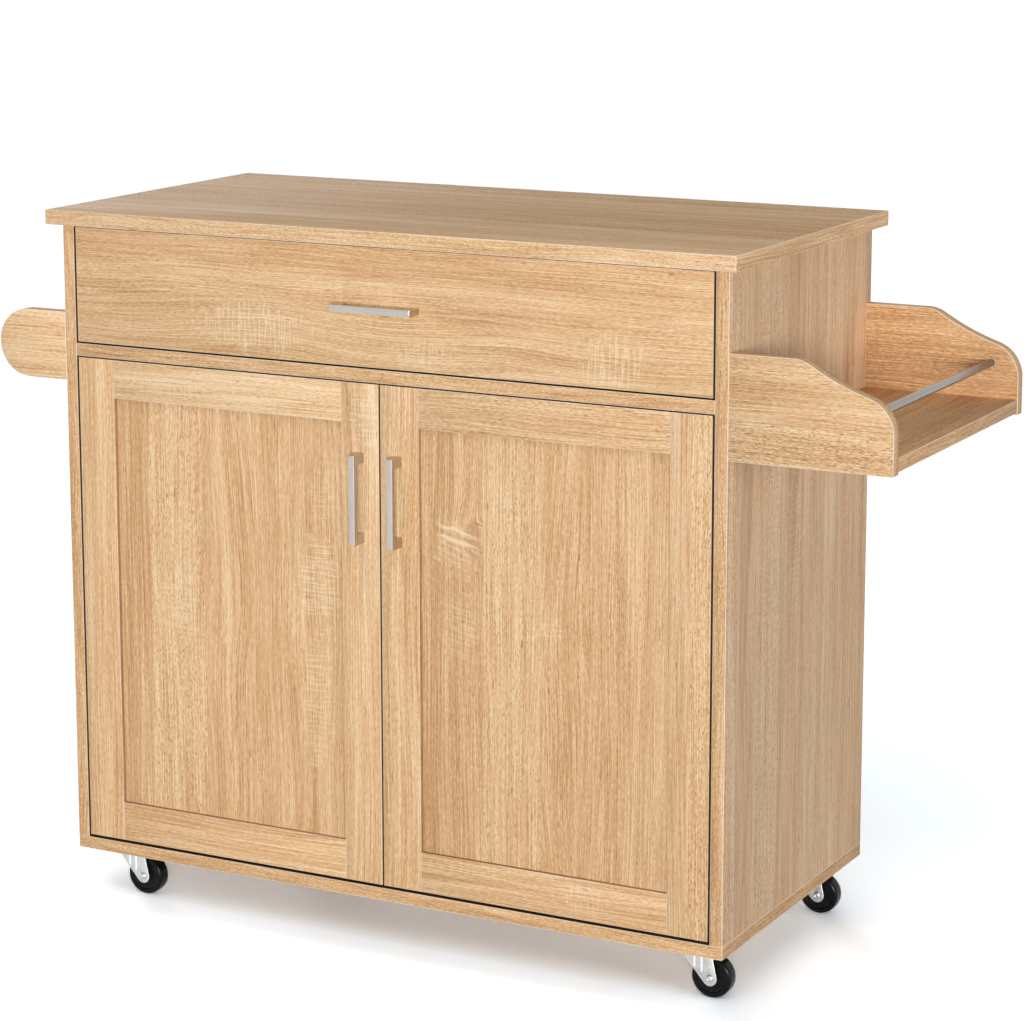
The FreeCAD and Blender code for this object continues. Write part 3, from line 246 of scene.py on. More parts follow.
def saw_marks(net, patch, knot_gain, ragged):
    """Thin pale strokes across the grain, in ladders and at random, woven with pale fibres."""
    patch_along, patch_across, patch_gain = patch
    slant = net.line(net.times(net.across, knot_gain), 0.24, net.along)
    stroke = net.step(net.marks(slant, 2.7, net.across, 34, 41.2), 0.54, 0.66)
    wander = net.marks(net.along, 24, net.across, 60, 43.1)
    rung = net.step(net.math("PINGPONG", net.add(slant, net.off(wander, 9.0)), 3.4), 1.15, 0.35)
    worn = net.step(net.marks(net.along, 9, net.across, 16, 44.3), 0.30, 0.58)
    strokes = net.most(net.times(stroke, 0.7), net.times(rung, worn))
    weave = net.step(net.marks(net.along, 26, net.across, 1.5, 45.6), 0.46, 0.66)
    woven = net.times(strokes, net.line(weave, 0.35, 0.65))

    # Where they lie: faint in wild places, strong in the listed patches
    wild = net.step(net.marks(net.along, 70, net.across, 34, 49.4, detail=1.0), 0.63, 0.74)
    reach = net.math("SQRT", net.squares(patch_along, patch_across))
    placed = net.times(patch_gain, net.step(net.add(reach, net.off(ragged, 1.1)), 1.2, 0.6))
    where = net.most(net.times(wild, 0.25), placed)
    return net.times(where, net.add(woven, net.times(weave, 0.20)))


def lay_knot(net, base, knot, ragged):
    """Darken the knot's heart and lay two pale slanting strokes beside it."""
    knot_along, knot_across, knot_gain = knot
    heart = net.squares(net.line(knot_along, 0.55, 0.30), net.line(knot_across, 1.1, 0.35))
    from_heart = net.add(heart, net.off(ragged, 1.4))
    base = net.mix(net.times(knot_gain, net.step(from_heart, 1.3, 0.2), 0.42), base, OAK_HEART)
    slanted = net.add(knot_along, net.times(knot_across, 0.22), net.off(ragged, 0.35))
    nearest = net.math("MINIMUM", *[net.math("ABSOLUTE", net.add(slanted, place)) for place in (0.15, 1.05)])
    length = net.times(net.step(knot_across, -4.2, -2.8), net.step(knot_across, 0.9, -1.4))
    return net.mix(net.times(knot_gain, length, net.step(nearest, 0.26, 0.05), 0.85), base, OAK_CREAM)


def oak_laminate():
    """Printed oak in each board's own grain: growth lines, fibres, pores, cracks, saw marks and a knot."""
    net = BoardNet("oak_laminate")
    tone, dash, swirl = net.split(net.attribute("plank"))
    knot = net.split(net.attribute("knot"))
    ragged = net.marks(net.along, 14, net.across, 14, 53.0)
    bent = bent_grain(net, swirl, knot)
    pores = oak_pores(net, bent, dash)
    sawn = saw_marks(net, net.split(net.attribute("saw")), knot[2], ragged)

    # The tone: growth lines, broad bands, fibres, threads and hairs, and flecks on planks of much dash
    lines = net.marks(bent, 3.2, net.along, 260, 13.9, detail=1.0)
    broad = net.marks(bent, 17, net.along, 420, 17.2)
    fibre = net.marks(net.along, 75, bent, 1.6, 21.5, detail=1.0)
    thread = net.marks(net.along, 120, bent, 0.95, 23.4)
    hair = net.marks(net.along, 7, bent, 1.0, 25.8)
    fleck = net.marks(net.along, 5.2, bent, 1.15, 27.3)
    shares = ((lines, 0.26), (broad, 0.38), (fibre, 0.45), (thread, 0.72), (hair, 0.52))
    level = net.add(0.52, net.times(tone, 0.16), *[net.off(layer, share) for layer, share in shares],
                    net.times(net.off(fleck, 0.70), dash))

    # The colours laid on it
    base = net.ramp(level, OAK_STOPS)
    base = net.mix(net.times(pores, net.line(dash, 0.42, 0.36)), base, OAK_PORE)
    crack = net.step(net.marks(net.along, 26, bent, 1.9, 57.9), 0.775, 0.85)
    base = net.mix(net.times(crack, 0.6), base, OAK_CRACK)
    base = lay_knot(net, base, knot, ragged)
    base = net.mix(net.math("MULTIPLY", sawn, 0.80, clamp=True), base, OAK_CREAM)
    # Painted sheen: a grey-blue veil on the side panels' outer faces
    base = net.mix(net.attribute("painted_sheen", "Fac"), base, OAK_PAINTED_SHEEN)
    # Painted highlight: the softened edges (rims) are lightened to a pale cream line
    base = net.mix(net.times(net.attribute("rim", "Fac"), 0.70), base, OAK_RIM_HIGHLIGHT)
    # Painted shade on the faces that line the gaps round the drawer and the doors, and on the doors' inner
    # steps
    base = net.mix(net.attribute("gap_painted_shade", "Fac"), base, OAK_PAINTED_GAP_SHADE)

    reliefs = ((fibre, 0.4), (thread, 0.4), (hair, 0.3), (pores, -0.8), (sawn, 0.2))
    net.bump(net.add(*[net.times(layer, height) for layer, height in reliefs]), 0.00018, 0.35)
    net.set(Base_Color=base, Roughness=net.add(0.80, net.off(fibre, 0.20), net.times(pores, 0.10)))
    net.shine(0.50)
    return net.owner


def pale_board():
    """Plain pale laminate on the drawer box and the back panel, with a faint print."""
    net = BoardNet("pale_board")
    bend = net.marks(net.along, 160, net.across, 30, 0.0, detail=1.0)
    bent = net.add(net.across, net.off(bend, 12.0))
    streak = net.marks(net.along, 60, bent, 3.2, 4.0, detail=2.0)
    fine = net.marks(net.along, 6, net.across, 1.4, 8.0, detail=2.0, rough=0.7)
    level = net.add(0.5, net.off(streak, 0.9), net.off(fine, 0.5))
    stops = [(0.15, (0.58, 0.48, 0.34)), (0.5, (0.68, 0.57, 0.42)), (0.9, (0.77, 0.66, 0.51))]
    # The rims are lightened: a painted highlight on the softened edges
    colour = net.mix(net.times(net.attribute("rim", "Fac"), 0.4), net.ramp(level, stops), (0.82, 0.74, 0.60))
    net.bump(net.add(streak, fine), 0.0001, 0.3)
    net.set(Base_Color=colour, Roughness=net.add(0.52, net.off(fine, 0.2)))
    return net.owner


def bare_beech():
    """The bare wood of the dowels."""
    net = MaterialNet("beech")
    place = net.split(net.node("TexCoord").outputs["Object"])
    fleck = net.scaled_noise(place, (900.0,) * 3, detail=2.0)
    slow = net.scaled_noise(place, (90.0,) * 3)
    stops = [(0.3, (0.46, 0.27, 0.13)), (0.7, (0.66, 0.45, 0.25))]
    colour = net.ramp(net.add(net.times(fleck, 0.5), net.times(slow, 0.5)), stops)
    net.bump(fleck, 0.0002, 0.5)
    net.set(Base_Color=colour, Roughness=net.add(0.6, net.off(fleck, 0.2)))
    return net.owner


def satin_metal():
    """Satin nickel, brushed along the bar."""
    net = MaterialNet("satin_metal")
    place = net.split(net.attribute("grain"))
    brush, cloud = [net.scaled_noise(place, [MM_PER_METRE / size for size in sizes], detail=2.0)
                    for sizes in ((55, 0.16, 0.16), (30, 9, 9))]
    stops = [(0.3, (0.46, 0.405, 0.36)), (0.7, (0.57, 0.51, 0.46))]
    colour = net.ramp(net.add(net.times(brush, 0.6), net.times(cloud, 0.4)), stops)
    # Painted shade: the rails' metal is darkened towards a dark grey
    colour = net.mix(net.attribute("shade", "Fac"), colour, (0.14, 0.13, 0.12))
    # The rims are lightened: a painted highlight on the softened edges
    colour = net.mix(net.times(net.attribute("rim", "Fac"), 0.4), colour, (0.70, 0.65, 0.60))
    net.bump(brush, 0.00004, 0.4)
    roughness = net.add(0.33, net.off(brush, 0.16), net.off(cloud, 0.08))
    net.set(Base_Color=colour, Metallic=1.0, Roughness=roughness)
    return net.owner


def plated_steel(name, dark, light, rough):
    """Plated pressed steel with faint clouding and handling marks."""
    net = MaterialNet(name)
    place = net.place_in_mm()
    cloud = net.scaled_noise(place, (1 / 7,) * 3, detail=3.0, rough=0.6)
    grit = net.scaled_noise(place, (2.2,) * 3, detail=2.0)
    scratch = net.scaled_noise(place, (1 / 9, 1 / 9, 2.6))
    level = net.add(0.5, net.off(cloud, 1.1), net.off(scratch, 0.5), net.off(grit, 0.3))
    colour = net.ramp(level, [(0.2, dark), (0.8, light)])
    # The rims and the fork's ridges are lightened almost to white: a painted highlight
    colour = net.mix(net.times(net.attribute("rim", "Fac"), 0.8), colour, (0.95, 0.95, 0.93))
    net.bump(net.add(grit, net.times(scratch, 0.6)), 0.00005, 0.4)
    roughness = net.add(rough, net.off(cloud, 0.22), net.off(grit, 0.08))
    net.set(Base_Color=colour, Metallic=1.0, Roughness=roughness)
    return net.owner


def moulded(name, dark, light, rough, grain, shine):
    """Moulded plastic with a fine spark-eroded skin and slight dust."""
    net = MaterialNet(name)
    place = net.place_in_mm()
    skin = net.scaled_noise(place, (grain,) * 3, detail=2.0)
    dust = net.scaled_noise(place, (1 / 6,) * 3, detail=3.0, rough=0.65)
    colour = net.ramp(net.add(net.times(dust, 0.75), net.times(skin, 0.25)), [(0.35, dark), (0.75, light)])
    net.bump(skin, 0.00006, 0.35)
    net.set(Base_Color=colour, Roughness=net.add(rough, net.off(dust, 0.2), net.off(skin, 0.06)))
    net.shine(shine)
    return net.owner


MATERIALS = {
    "oak_laminate": oak_laminate(),
    "pale_board": pale_board(),
    "beech": bare_beech(),
    "satin_metal": satin_metal(),
    "nickel_steel": plated_steel("nickel_steel", dark=(0.56, 0.55, 0.52), light=(0.74, 0.73, 0.70),
                                 rough=0.24),
    "zinc_steel": plated_steel("zinc_steel", dark=(0.44, 0.455, 0.44), light=(0.60, 0.615, 0.60),
                               rough=0.36),
    "white_plastic": moulded("white_plastic", dark=(0.66, 0.65, 0.61), light=(0.80, 0.79, 0.76),
                             rough=0.42, grain=1.6, shine=0.5),
    "black_polymer": moulded("black_polymer", dark=(0.0035, 0.0035, 0.0038), light=(0.011, 0.011, 0.011),
                             rough=0.20, grain=2.0, shine=0.12),
}


# Shapes

# Widths of the softened edges
CABINET_EDGE, FINE_EDGE, FORK_EDGE = 0.7 * MM, 0.35 * MM, 0.5 * MM
SCREW_EDGE, FITTING_EDGE = 0.4 * MM, 0.25 * MM
# Edges sharper than this are softened, in degrees: on boards, bars and forks, then on fittings
BOARD_SHARP, FITTING_SHARP = 35.0, 40.0
# Edges flatter than this look smooth, in degrees: on boards and bars, then on casters and fittings
BOARD_SMOOTH, FITTING_SMOOTH = 24.0, 30.0
# Points nearer than WELD are joined, and faces flatter than FLAT degrees. CUT_REACH is a cut's tolerance.
WELD, FLAT, CUT_REACH = 3e-6, 0.4, 1e-6


def put_in_scene(name, data):
    """A new object in the scene."""
    made = bpy.data.objects.new(name, data)
    bpy.context.scene.collection.objects.link(made)
    return made


def welded(node):
    """A CAD node's solid as a clean bmesh, its flat faces whole again."""
    shape = bmesh.new()
    shape.from_mesh(NODES[node].data)
    bmesh.ops.remove_doubles(shape, verts=shape.verts, dist=WELD)
    bmesh.ops.dissolve_limit(shape, angle_limit=math.radians(FLAT), verts=shape.verts, edges=shape.edges)
    return shape


def bevel(shape, width, sharp, clamp):
    """Bevel the sharp outer edges and return the new faces."""
    edges = [edge for edge in shape.edges if len(edge.link_faces) == 2 and edge.is_convex
             and edge.calc_face_angle(0) > math.radians(sharp)]
    made = bmesh.ops.bevel(shape, geom=edges, offset=width, offset_type="OFFSET", segments=2,
                           profile=0.5, affect="EDGES", clamp_overlap=clamp)
    return made["faces"]


def soften(shape, width):
    """Bevel the sharp outer edges and mark the new faces as rims, which the materials lighten as a painted
    highlight.
    """
    rim = shape.faces.layers.float.new("rim")
    for face in bevel(shape, width, BOARD_SHARP, clamp=False):
        face[rim] = 1.0
    return shape


def cut(shape, axis, place):
    """Split the faces that cross a plane at this place on an axis."""
    point, way = Vector((0, 0, 0)), Vector((0, 0, 0))
    point[axis], way[axis] = place, 1.0
    everything = shape.verts[:] + shape.edges[:] + shape.faces[:]
    bmesh.ops.bisect_plane(shape, geom=everything, dist=CUT_REACH, plane_co=point, plane_no=way)


def facing_axis(face):
    """The axis that a face looks along most."""
    normal = [abs(n) for n in face.normal]
    return normal.index(max(normal))


def finish_piece(shape, name, node, smooth):
    """Turn a bmesh into a piece that stands for a CAD node and rides on its body."""
    mesh = bpy.data.meshes.new(name)
    shape.normal_update()
    shape.to_mesh(mesh)
    shape.free()
    if "custom_normal" in mesh.attributes:
        mesh.attributes.remove(mesh.attributes["custom_normal"])
    mesh.materials.clear()
    mesh.materials.append(MATERIALS[SLOT_OF[node]])
    for polygon in mesh.polygons:
        polygon.use_smooth = True
    mesh.set_sharp_from_angle(angle=math.radians(smooth))
    piece = put_in_scene(name, mesh)
    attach(piece, BODY_OF[node])
    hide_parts(node)


# Boards: grain direction, thickness direction, seed
BOARDS = {
    "tabletop": ("x", "z", 2.0),
    "left_panel": ("z", "x", 5.0),
    "right_panel": ("z", "x", 8.0),
    "bottom_board": ("x", "z", 11.0),
    "divider_board": ("x", "z", 14.0),
    "adjustable_shelf": ("x", "z", 17.0),
    "rack_front_panel": ("x", "y", 20.0),
    "rack_rear_panel": ("x", "y", 23.0),
    "rack_tray": ("y", "z", 26.0),
    "towel_front_arm": ("x", "y", 29.0),
    "towel_rear_arm": ("x", "y", 32.0),
    "drawer_front": ("x", "y", 35.0),
    "left_door_outer_stile": ("z", "y", 38.0),
    "left_door_inner_stile": ("z", "y", 41.0),
    "left_door_top_rail": ("x", "y", 44.0),
    "left_door_bottom_rail": ("x", "y", 47.0),
    "left_door_panel": ("z", "y", 50.0),
    "right_door_outer_stile": ("z", "y", 53.0),
    "right_door_inner_stile": ("z", "y", 56.0),
    "right_door_top_rail": ("x", "y", 59.0),
    "right_door_bottom_rail": ("x", "y", 62.0),
    "right_door_panel": ("z", "y", 65.0),
}
PALE_BOARDS = {
    "back_panel": ("z", "y", 71.0),
    "drawer_left_side": ("y", "x", 74.0),
    "drawer_right_side": ("y", "x", 77.0),
    "drawer_back": ("x", "y", 80.0),
    "drawer_bottom": ("x", "z", 83.0),
}
# Planks listed one by one: their edges across the grain, then the tone of each plank, its dash, which is how
# many pores and flecks it has, and the swirl of its grain. An edge at PAST lies beyond the board.
PAST = 0.90
PLANKS = {
    "drawer_front": ([0.783, PAST], [(0.05, 0.35, 0.55), (0.0, 0.35, 0.3)]),
    "left_door_panel": ([-0.3765, -0.2985, -0.105, -0.05],
                        [(-0.40, 0.25, 0.0), (0.35, 0.75, 0.1), (-0.12, 0.1, 0.5), (-0.5, 0.4, 0.0)]),
    "right_door_panel": ([0.0855, 0.161, 0.243, 0.301, 0.40],
                         [(-0.5, 0.35, 0.1), (0.45, 0.55, 0.1), (-0.15, 0.4, 0.5), (0.05, 0.40, 0.2),
                          (0.2, 0.30, 0.0)]),
    "rack_front_panel": ([0.688, PAST], [(0.2, 1.0, 0.15), (0.05, 0.45, 0.1)]),
    # The rack's rear panel and tray have a very low tone: painted shade inside the rack
    "rack_rear_panel": ([0.684, PAST], [(-1.7, 0.3, 0.3), (-1.4, 0.7, 0.2)]),
    "rack_tray": ([PAST], [(-1.7, 0.4, 0.15)]),
    "towel_front_arm": ([PAST], [(0.35, 0.3, 0.1)]),
    "left_door_outer_stile": ([PAST], [(0.15, 0.2, 0.15)]),
    "left_door_inner_stile": ([PAST], [(0.50, 0.15, 0.1)]),
    "left_door_top_rail": ([PAST], [(0.70, 0.35, 0.15)]),
    "left_door_bottom_rail": ([PAST], [(-0.15, 0.2, 0.35)]),
    "right_door_outer_stile": ([0.352, 0.50], [(0.10, 0.2, 0.1), (0.20, 0.80, 0.1)]),
    "right_door_inner_stile": ([PAST], [(0.15, 0.35, 0.2)]),
    "right_door_top_rail": ([PAST], [(0.15, 0.55, 0.3)]),
    "right_door_bottom_rail": ([PAST], [(-0.15, 0.3, 0.3)]),
}
# The other boards' planks: where the first edge may lie, widths, tones, dashes and swirls to draw from
FIRST_EDGES, PLANK_WIDTHS, TONES = (-0.05, 0.03), (0.050, 0.068), (-0.5, 0.5)
DASHES, SWIRLS = (0.0, 0.2, 0.5, 0.9), (0.0, 0.1, 0.5)
# Each next plank's shift of the seed
PLANK_SHIFT = 1.37
# Saw-marked patches: place along, place across, half length, half width, strength
PATCHES = {
    "drawer_front": [(-0.217, 0.748, 0.078, 0.030, 1.0), (0.010, 0.734, 0.045, 0.014, 0.7),
                     (0.252, 0.742, 0.042, 0.034, 0.9)],
    "left_door_panel": [(0.45, -0.137, 0.055, 0.030, 0.85), (0.30, -0.138, 0.085, 0.022, 0.65),
                        (0.545, -0.130, 0.035, 0.020, 0.5), (0.405, -0.337, 0.05, 0.033, 0.5)],
    "right_door_panel": [(0.505, 0.050, 0.035, 0.030, 0.8), (0.415, 0.055, 0.05, 0.024, 0.55),
                         (0.425, 0.17, 0.012, 0.022, 0.6)],
    "left_door_inner_stile": [(0.652, -0.067, 0.034, 0.022, 1.0)],
    "left_door_top_rail": [(-0.34, 0.665, 0.05, 0.015, 0.6)],
    "right_door_bottom_rail": [(0.22, 0.108, 0.03, 0.02, 0.7)],
    "right_panel": [(0.50, -0.02, 0.10, 0.03, 0.5)],
}
# How many times farther a patch counts across the grain than along it
ACROSS_WEIGHT = 3
# Cuts across the grain, so that each face is near to one patch
CUTS = {"drawer_front": [-0.10, 0.12], "left_door_panel": [0.385, 0.505], "right_door_panel": [0.455]}
# Knots: place along, place across
KNOTS = {"right_door_panel": (0.524, 0.077)}
KNOT_RADIUS = 0.014
NO_MARK = Vector((9.0, 9.0, 0.0))
# The strips on a board's narrow faces: stretch, then the shifts across and of the seed on long edges and ends
STRIP_STRETCH, LONG_STRIP, END_STRIP = 1.6, (0.31, 3.7), (0.77, 6.1)
# Tone of the strips, of the tabletop's strips, and the dash and swirl of both
STRIP_TONE, TOP_STRIP_TONE, STRIP_DASH, STRIP_SWIRL = -0.45, 0.5, 0.60, 0.15
# Faces that line the narrow gaps round the drawer and the doors get painted shade near the front
GAPS = {"left_panel": "x", "right_panel": "x", "divider_board": "z", "bottom_board": "z"}
LINING_DEPTH, FRONT_DEPTH = -0.2015, -0.2072
# Painted shade of the opening's lining, of the outer edges of a drawer or door, and of its inner steps
LINING_SHADE, OUTER_SHADE, INNER_SHADE = 0.97, 0.92, 0.50
OUTER_REACH = 1 * MM
OPENING_MIDDLE, OPENING_HALF, OPENING_FOOT = -0.0475, 0.43, 0.07
# The side panels' outer faces get a slight painted sheen, a grey-blue veil: which way they look along X, and
# its strength
PAINTED_SHEEN_SIDES = {"left_panel": (-1, 0.08), "right_panel": (1, 0.08)}
SHEEN_FACING = 0.5


def planks_of(seed, low, high):
    """Random plank edges between two places across the grain, each plank with its tone, dash and swirl."""
    draw = random.Random(int(seed * 10))
    edges, looks = [], []
    place = low + draw.uniform(*FIRST_EDGES)
    while place < high:
        place += draw.uniform(*PLANK_WIDTHS)
        edges.append(place)
        looks.append((draw.uniform(*TONES), draw.choice(DASHES), draw.choice(SWIRLS)))
    return edges, looks


def nearest_patch(node, along, across):
    """The board's saw-marked patch that is nearest to a place, or None."""
    def distance(patch):
        return abs(along - patch[0]) + ACROSS_WEIGHT * abs(across - patch[1])
    return min(PATCHES.get(node, ()), key=distance, default=None)


def from_mark(along, across, middle, halves, strength):
    """A place measured from a mark's middle in the mark's own half sizes, with the mark's strength."""
    return Vector(((along - middle[0]) / halves[0], (across - middle[1]) / halves[1], strength))


def lay_grain(shape, node, along, thick, seed):
    """Split the faces into planks and write each corner's place in the grain, the saw marks and the knot."""
    run, deep = AXES[along], AXES[thick]
    side = sum(AXES.values()) - run - deep
    low, high = (pick(v.co[side] for v in shape.verts) for pick in (min, max))
    edges, looks = PLANKS.get(node) or planks_of(seed, low, high)
    for axis, places in ((side, edges), (run, CUTS.get(node, ()))):
        for place in places:
            cut(shape, axis, place)
    shape.normal_update()
    layers = [shape.loops.layers.float_vector.new(name) for name in ("grain", "plank", "saw", "knot")]
    grain, plank, sawn, knotted = layers
    knot = KNOTS.get(node)
    strip_look = Vector((TOP_STRIP_TONE if node == "tabletop" else STRIP_TONE, STRIP_DASH, STRIP_SWIRL))
    for face in shape.faces:
        facing = facing_axis(face)
        middle = face.calc_center_median()
        order = sum(middle[side] > edge for edge in edges)
        patch = nearest_patch(node, middle[run], middle[side])
        on_knot = knot and order == sum(knot[1] > edge for edge in edges)
        for loop in face.loops:
            place = loop.vert.co
            loop[sawn] = NO_MARK
            loop[knotted] = NO_MARK
            if facing != deep:
                length, (shift, seed_shift) = (run, LONG_STRIP) if facing == side else (side, END_STRIP)
                loop[grain] = Vector((place[length] * STRIP_STRETCH, place[deep] + shift, seed + seed_shift))
                loop[plank] = strip_look
                continue
            loop[grain] = Vector((place[run], place[side], seed + PLANK_SHIFT * order))
            loop[plank] = Vector(looks[min(order, len(looks) - 1)])
            if patch:
                loop[sawn] = from_mark(place[run], place[side], patch[:2], patch[2:4], patch[4])
            if on_knot:
                loop[knotted] = from_mark(place[run], place[side], knot, (KNOT_RADIUS, KNOT_RADIUS), 1.0)


def front_box(body):
    """The outline of a body's boards, seen from the front: low x, high x, low z, high z."""
    spots = [NODES[node].matrix_world @ v.co for node in BOARDS if BODY_OF[node] == body
             for v in NODES[node].data.vertices]
    return [pick(spot[axis] for spot in spots) for axis in (AXES["x"], AXES["z"])
            for pick in (min, max)]


BOXES = {body: front_box(body) for body in ("drawer", "left_door", "right_door")}


def shaded_depth(node):
    """How deep the painted shade of the gaps reaches on a board, or None on a board that lines none of them.
    """
    if node in GAPS:
        return LINING_DEPTH
    return FRONT_DEPTH if node in BOARDS and BODY_OF[node] in BOXES else None


def gap_shade(node, face, depth):
    """How dark the painted shade of the gaps makes a face of a board that lines them."""
    middle, facing = face.calc_center_median(), facing_axis(face)
    if facing == AXES["y"] or middle.y > depth:
        return 0.0
    if node in GAPS:
        in_opening = abs(middle.x - OPENING_MIDDLE) < OPENING_HALF and middle.z > OPENING_FOOT
        return LINING_SHADE if facing == AXES[GAPS[node]] and in_opening else 0.0
    low_x, high_x, low_z, high_z = BOXES[BODY_OF[node]]
    spans = (middle.x - low_x, middle.x - high_x, middle.z - low_z, middle.z - high_z)
    return OUTER_SHADE if min(abs(span) for span in spans) < OUTER_REACH else INNER_SHADE


def dress_board(node, along, thick, seed):
    """Soften a board's edges and give it its planks, the painted shade of the gaps and the painted sheen on
    the sides.
    """
    wide = BODY_OF[node] == "cabinet" and node in BOARDS
    shape = soften(welded(node), CABINET_EDGE if wide else FINE_EDGE)
    depth = shaded_depth(node)
    if depth is not None:
        cut(shape, AXES["y"], depth)
    lay_grain(shape, node, along, thick, seed)
    gap_painted_shade = shape.faces.layers.float.new("gap_painted_shade")
    painted_sheen = shape.faces.layers.float.new("painted_sheen")
    sheen_side, sheen_share = PAINTED_SHEEN_SIDES.get(node, (0, 0.0))
    for face in shape.faces:
        if face.normal.x * sheen_side > SHEEN_FACING:
            face[painted_sheen] = sheen_share
        if depth is not None:
            face[gap_painted_shade] = gap_shade(node, face, depth)
    finish_piece(shape, node + "_laminated", node, BOARD_SMOOTH)


for node, (along, thick, seed) in {**BOARDS, **PALE_BOARDS}.items():
    dress_board(node, along, thick, seed)

# Handles and rails: the way they are brushed, and how much painted shade darkens them
METAL_BARS = {
    "drawer_handle": ("x", 0.0),
    "left_door_handle": ("z", 0.0),
    "right_door_handle": ("z", 0.0),
    "rack_rail": ("y", 0.5),
    "towel_bar": ("y", 0.5),
}


def dress_bar(node, along, painted_shade):
    """Soften a handle or rail, give it its painted shade, and write each corner's place along and around its
    brushing.
    """
    shape = soften(welded(node), FINE_EDGE)
    grain = shape.loops.layers.float_vector.new("grain")
    shade = shape.faces.layers.float.new("shade")
    order = [AXES[along]] + [n for n in range(3) if n != AXES[along]]
    for face in shape.faces:
        face[shade] = painted_shade
        for loop in face.loops:
            loop[grain] = Vector([loop.vert.co[n] for n in order])
    finish_piece(shape, node + "_brushed", node, BOARD_SMOOTH)


for node, (along, painted_shade) in METAL_BARS.items():
    dress_bar(node, along, painted_shade)

# Casters: half profiles of the wheel and the axle, as radius and place along the axle, in millimetres
WHEEL_HALF = [
    (3.05, 10.5), (7.3, 10.5), (7.9, 10.0), (8.2, 7.6), (8.8, 7.0), (12.6, 7.0), (12.9, 7.5), (13.6, 7.7),
    (14.3, 7.5), (14.6, 7.0), (17.7, 7.0), (18.3, 7.3), (18.9, 8.5), (19.4, 8.95), (20.0, 9.0), (21.6, 9.0),
    (21.8, 8.7), (22.1, 8.7), (22.3, 8.9), (23.2, 8.55), (24.1, 7.8), (24.7, 6.8), (24.9, 5.9), (25.0, 3.0),
    (25.0, 0.35), (24.8, 0.15),
]
AXLE_HALF = [
    (0, 13.9), (1.2, 13.9), (1.6, 14.5), (2.2, 14.75), (3.0, 14.6), (3.8, 14.1), (4.35, 13.5), (4.5, 13.0),
    (3.0, 12.9),
]
WHEEL_SEGMENTS, AXLE_SEGMENTS = 96, 40
# Pressed ridges on a fork's cheeks, in millimetres: how far ahead of the axle and from what height over it,
# then the height that they reach and how far out the cheeks are
RIDGES = [(19, 11.0), (10, 5.5)]
RIDGE_TOP, CHEEK_OUT = 31, 13
# A ridge's half width, its height and how deep it is sunk
RIDGE_RADIUS, RIDGE_HEIGHT, RIDGE_SUNK = 1.3 * MM, 0.8 * MM, 0.1 * MM
# A ridge's steps along and around, how fast it tapers, and the share of it that is left at its tips
RIDGE_STEPS, RIDGE_ARC, RIDGE_TAPER, RIDGE_TIP = 14, 8, 3.0, 0.02


def mirrored(half):
    """A profile in metres that runs from one side to the other, from its half at the +Y side."""
    whole = half + [(radius, -y) for radius, y in reversed(half)]
    return [(radius * MM, y * MM) for radius, y in whole]


def turned(profile, centre, closed, segments):
    """A solid turned about an axis along Y. The profile gives radius and place along the axis, and its ends
    are joined where it is closed."""
    shape = bmesh.new()
    rings = []
    for radius, y in profile:
        steps = 1 if radius == 0 else segments
        turns = [math.tau * n / segments for n in range(steps)]
        spots = [Vector((radius * math.cos(t), y, radius * math.sin(t))) for t in turns]
        rings.append([shape.verts.new(Vector(centre) + spot) for spot in spots])
    pairs = list(zip(rings, rings[1:] + rings[:1]))
    for one, two in pairs if closed else pairs[:-1]:
        for n in range(segments):
            m = (n + 1) % segments
            corners = [one[n % len(one)], one[m % len(one)], two[m % len(two)], two[n % len(two)]]
            shape.faces.new(list(dict.fromkeys(corners)))
    bmesh.ops.recalc_face_normals(shape, faces=shape.faces[:])
    return shape


def ridge(shape, start, end, outward):
    """A low pressed ridge with tapered ends, on a flat face."""
    rim = shape.faces.layers.float.get("rim")
    start, end, outward = Vector(start), Vector(end), Vector(outward)
    across = (end - start).normalized().cross(outward)
    rows = []
    for n in range(RIDGE_STEPS + 1):
        share = n / RIDGE_STEPS
        swell = min(1.0, math.sin(math.pi * share) * RIDGE_TAPER) + RIDGE_TIP
        spot = start.lerp(end, share)
        row = []
        for k in range(RIDGE_ARC + 1):
            turn = math.pi * k / RIDGE_ARC
            rise = math.sin(turn) * RIDGE_HEIGHT * swell - RIDGE_SUNK
            offset = across * math.cos(turn) * RIDGE_RADIUS * swell + outward * rise
            row.append(shape.verts.new(spot + offset))
        rows.append(row)
    for one, two in zip(rows, rows[1:]):
        for k in range(RIDGE_ARC):
            # The ridge's round top is marked as a rim, which the steel lightens as a painted highlight
            shape.faces.new((one[k], one[k + 1], two[k + 1], two[k]))[rim] = 1.0
        shape.faces.new((one[RIDGE_ARC], one[0], two[0], two[RIDGE_ARC]))
    shape.faces.new(rows[0])
    shape.faces.new(rows[-1])


def middle_of(node):
    """The middle of a CAD node's box in the frame."""
    corners = [NODES[node].matrix_world @ v.co for v in NODES[node].data.vertices]
    return [(min(c[n] for c in corners) + max(c[n] for c in corners)) / 2 for n in range(3)]


def dress_fork(node, centre):
    """Soften a fork's edges and press the ridges into both of its cheeks."""
    shape = soften(welded(node), FORK_EDGE)
    x, y, z = centre
    for way in (-1, 1):
        cheek = y + way * CHEEK_OUT * MM
        for ahead, low in RIDGES:
            top, foot = [(x - ahead * MM, cheek, z + height * MM) for height in (RIDGE_TOP, low)]
            ridge(shape, top, foot, (0, way, 0))
    bmesh.ops.recalc_face_normals(shape, faces=shape.faces[:])
    finish_piece(shape, node + "_pressed", node, FITTING_SMOOTH)


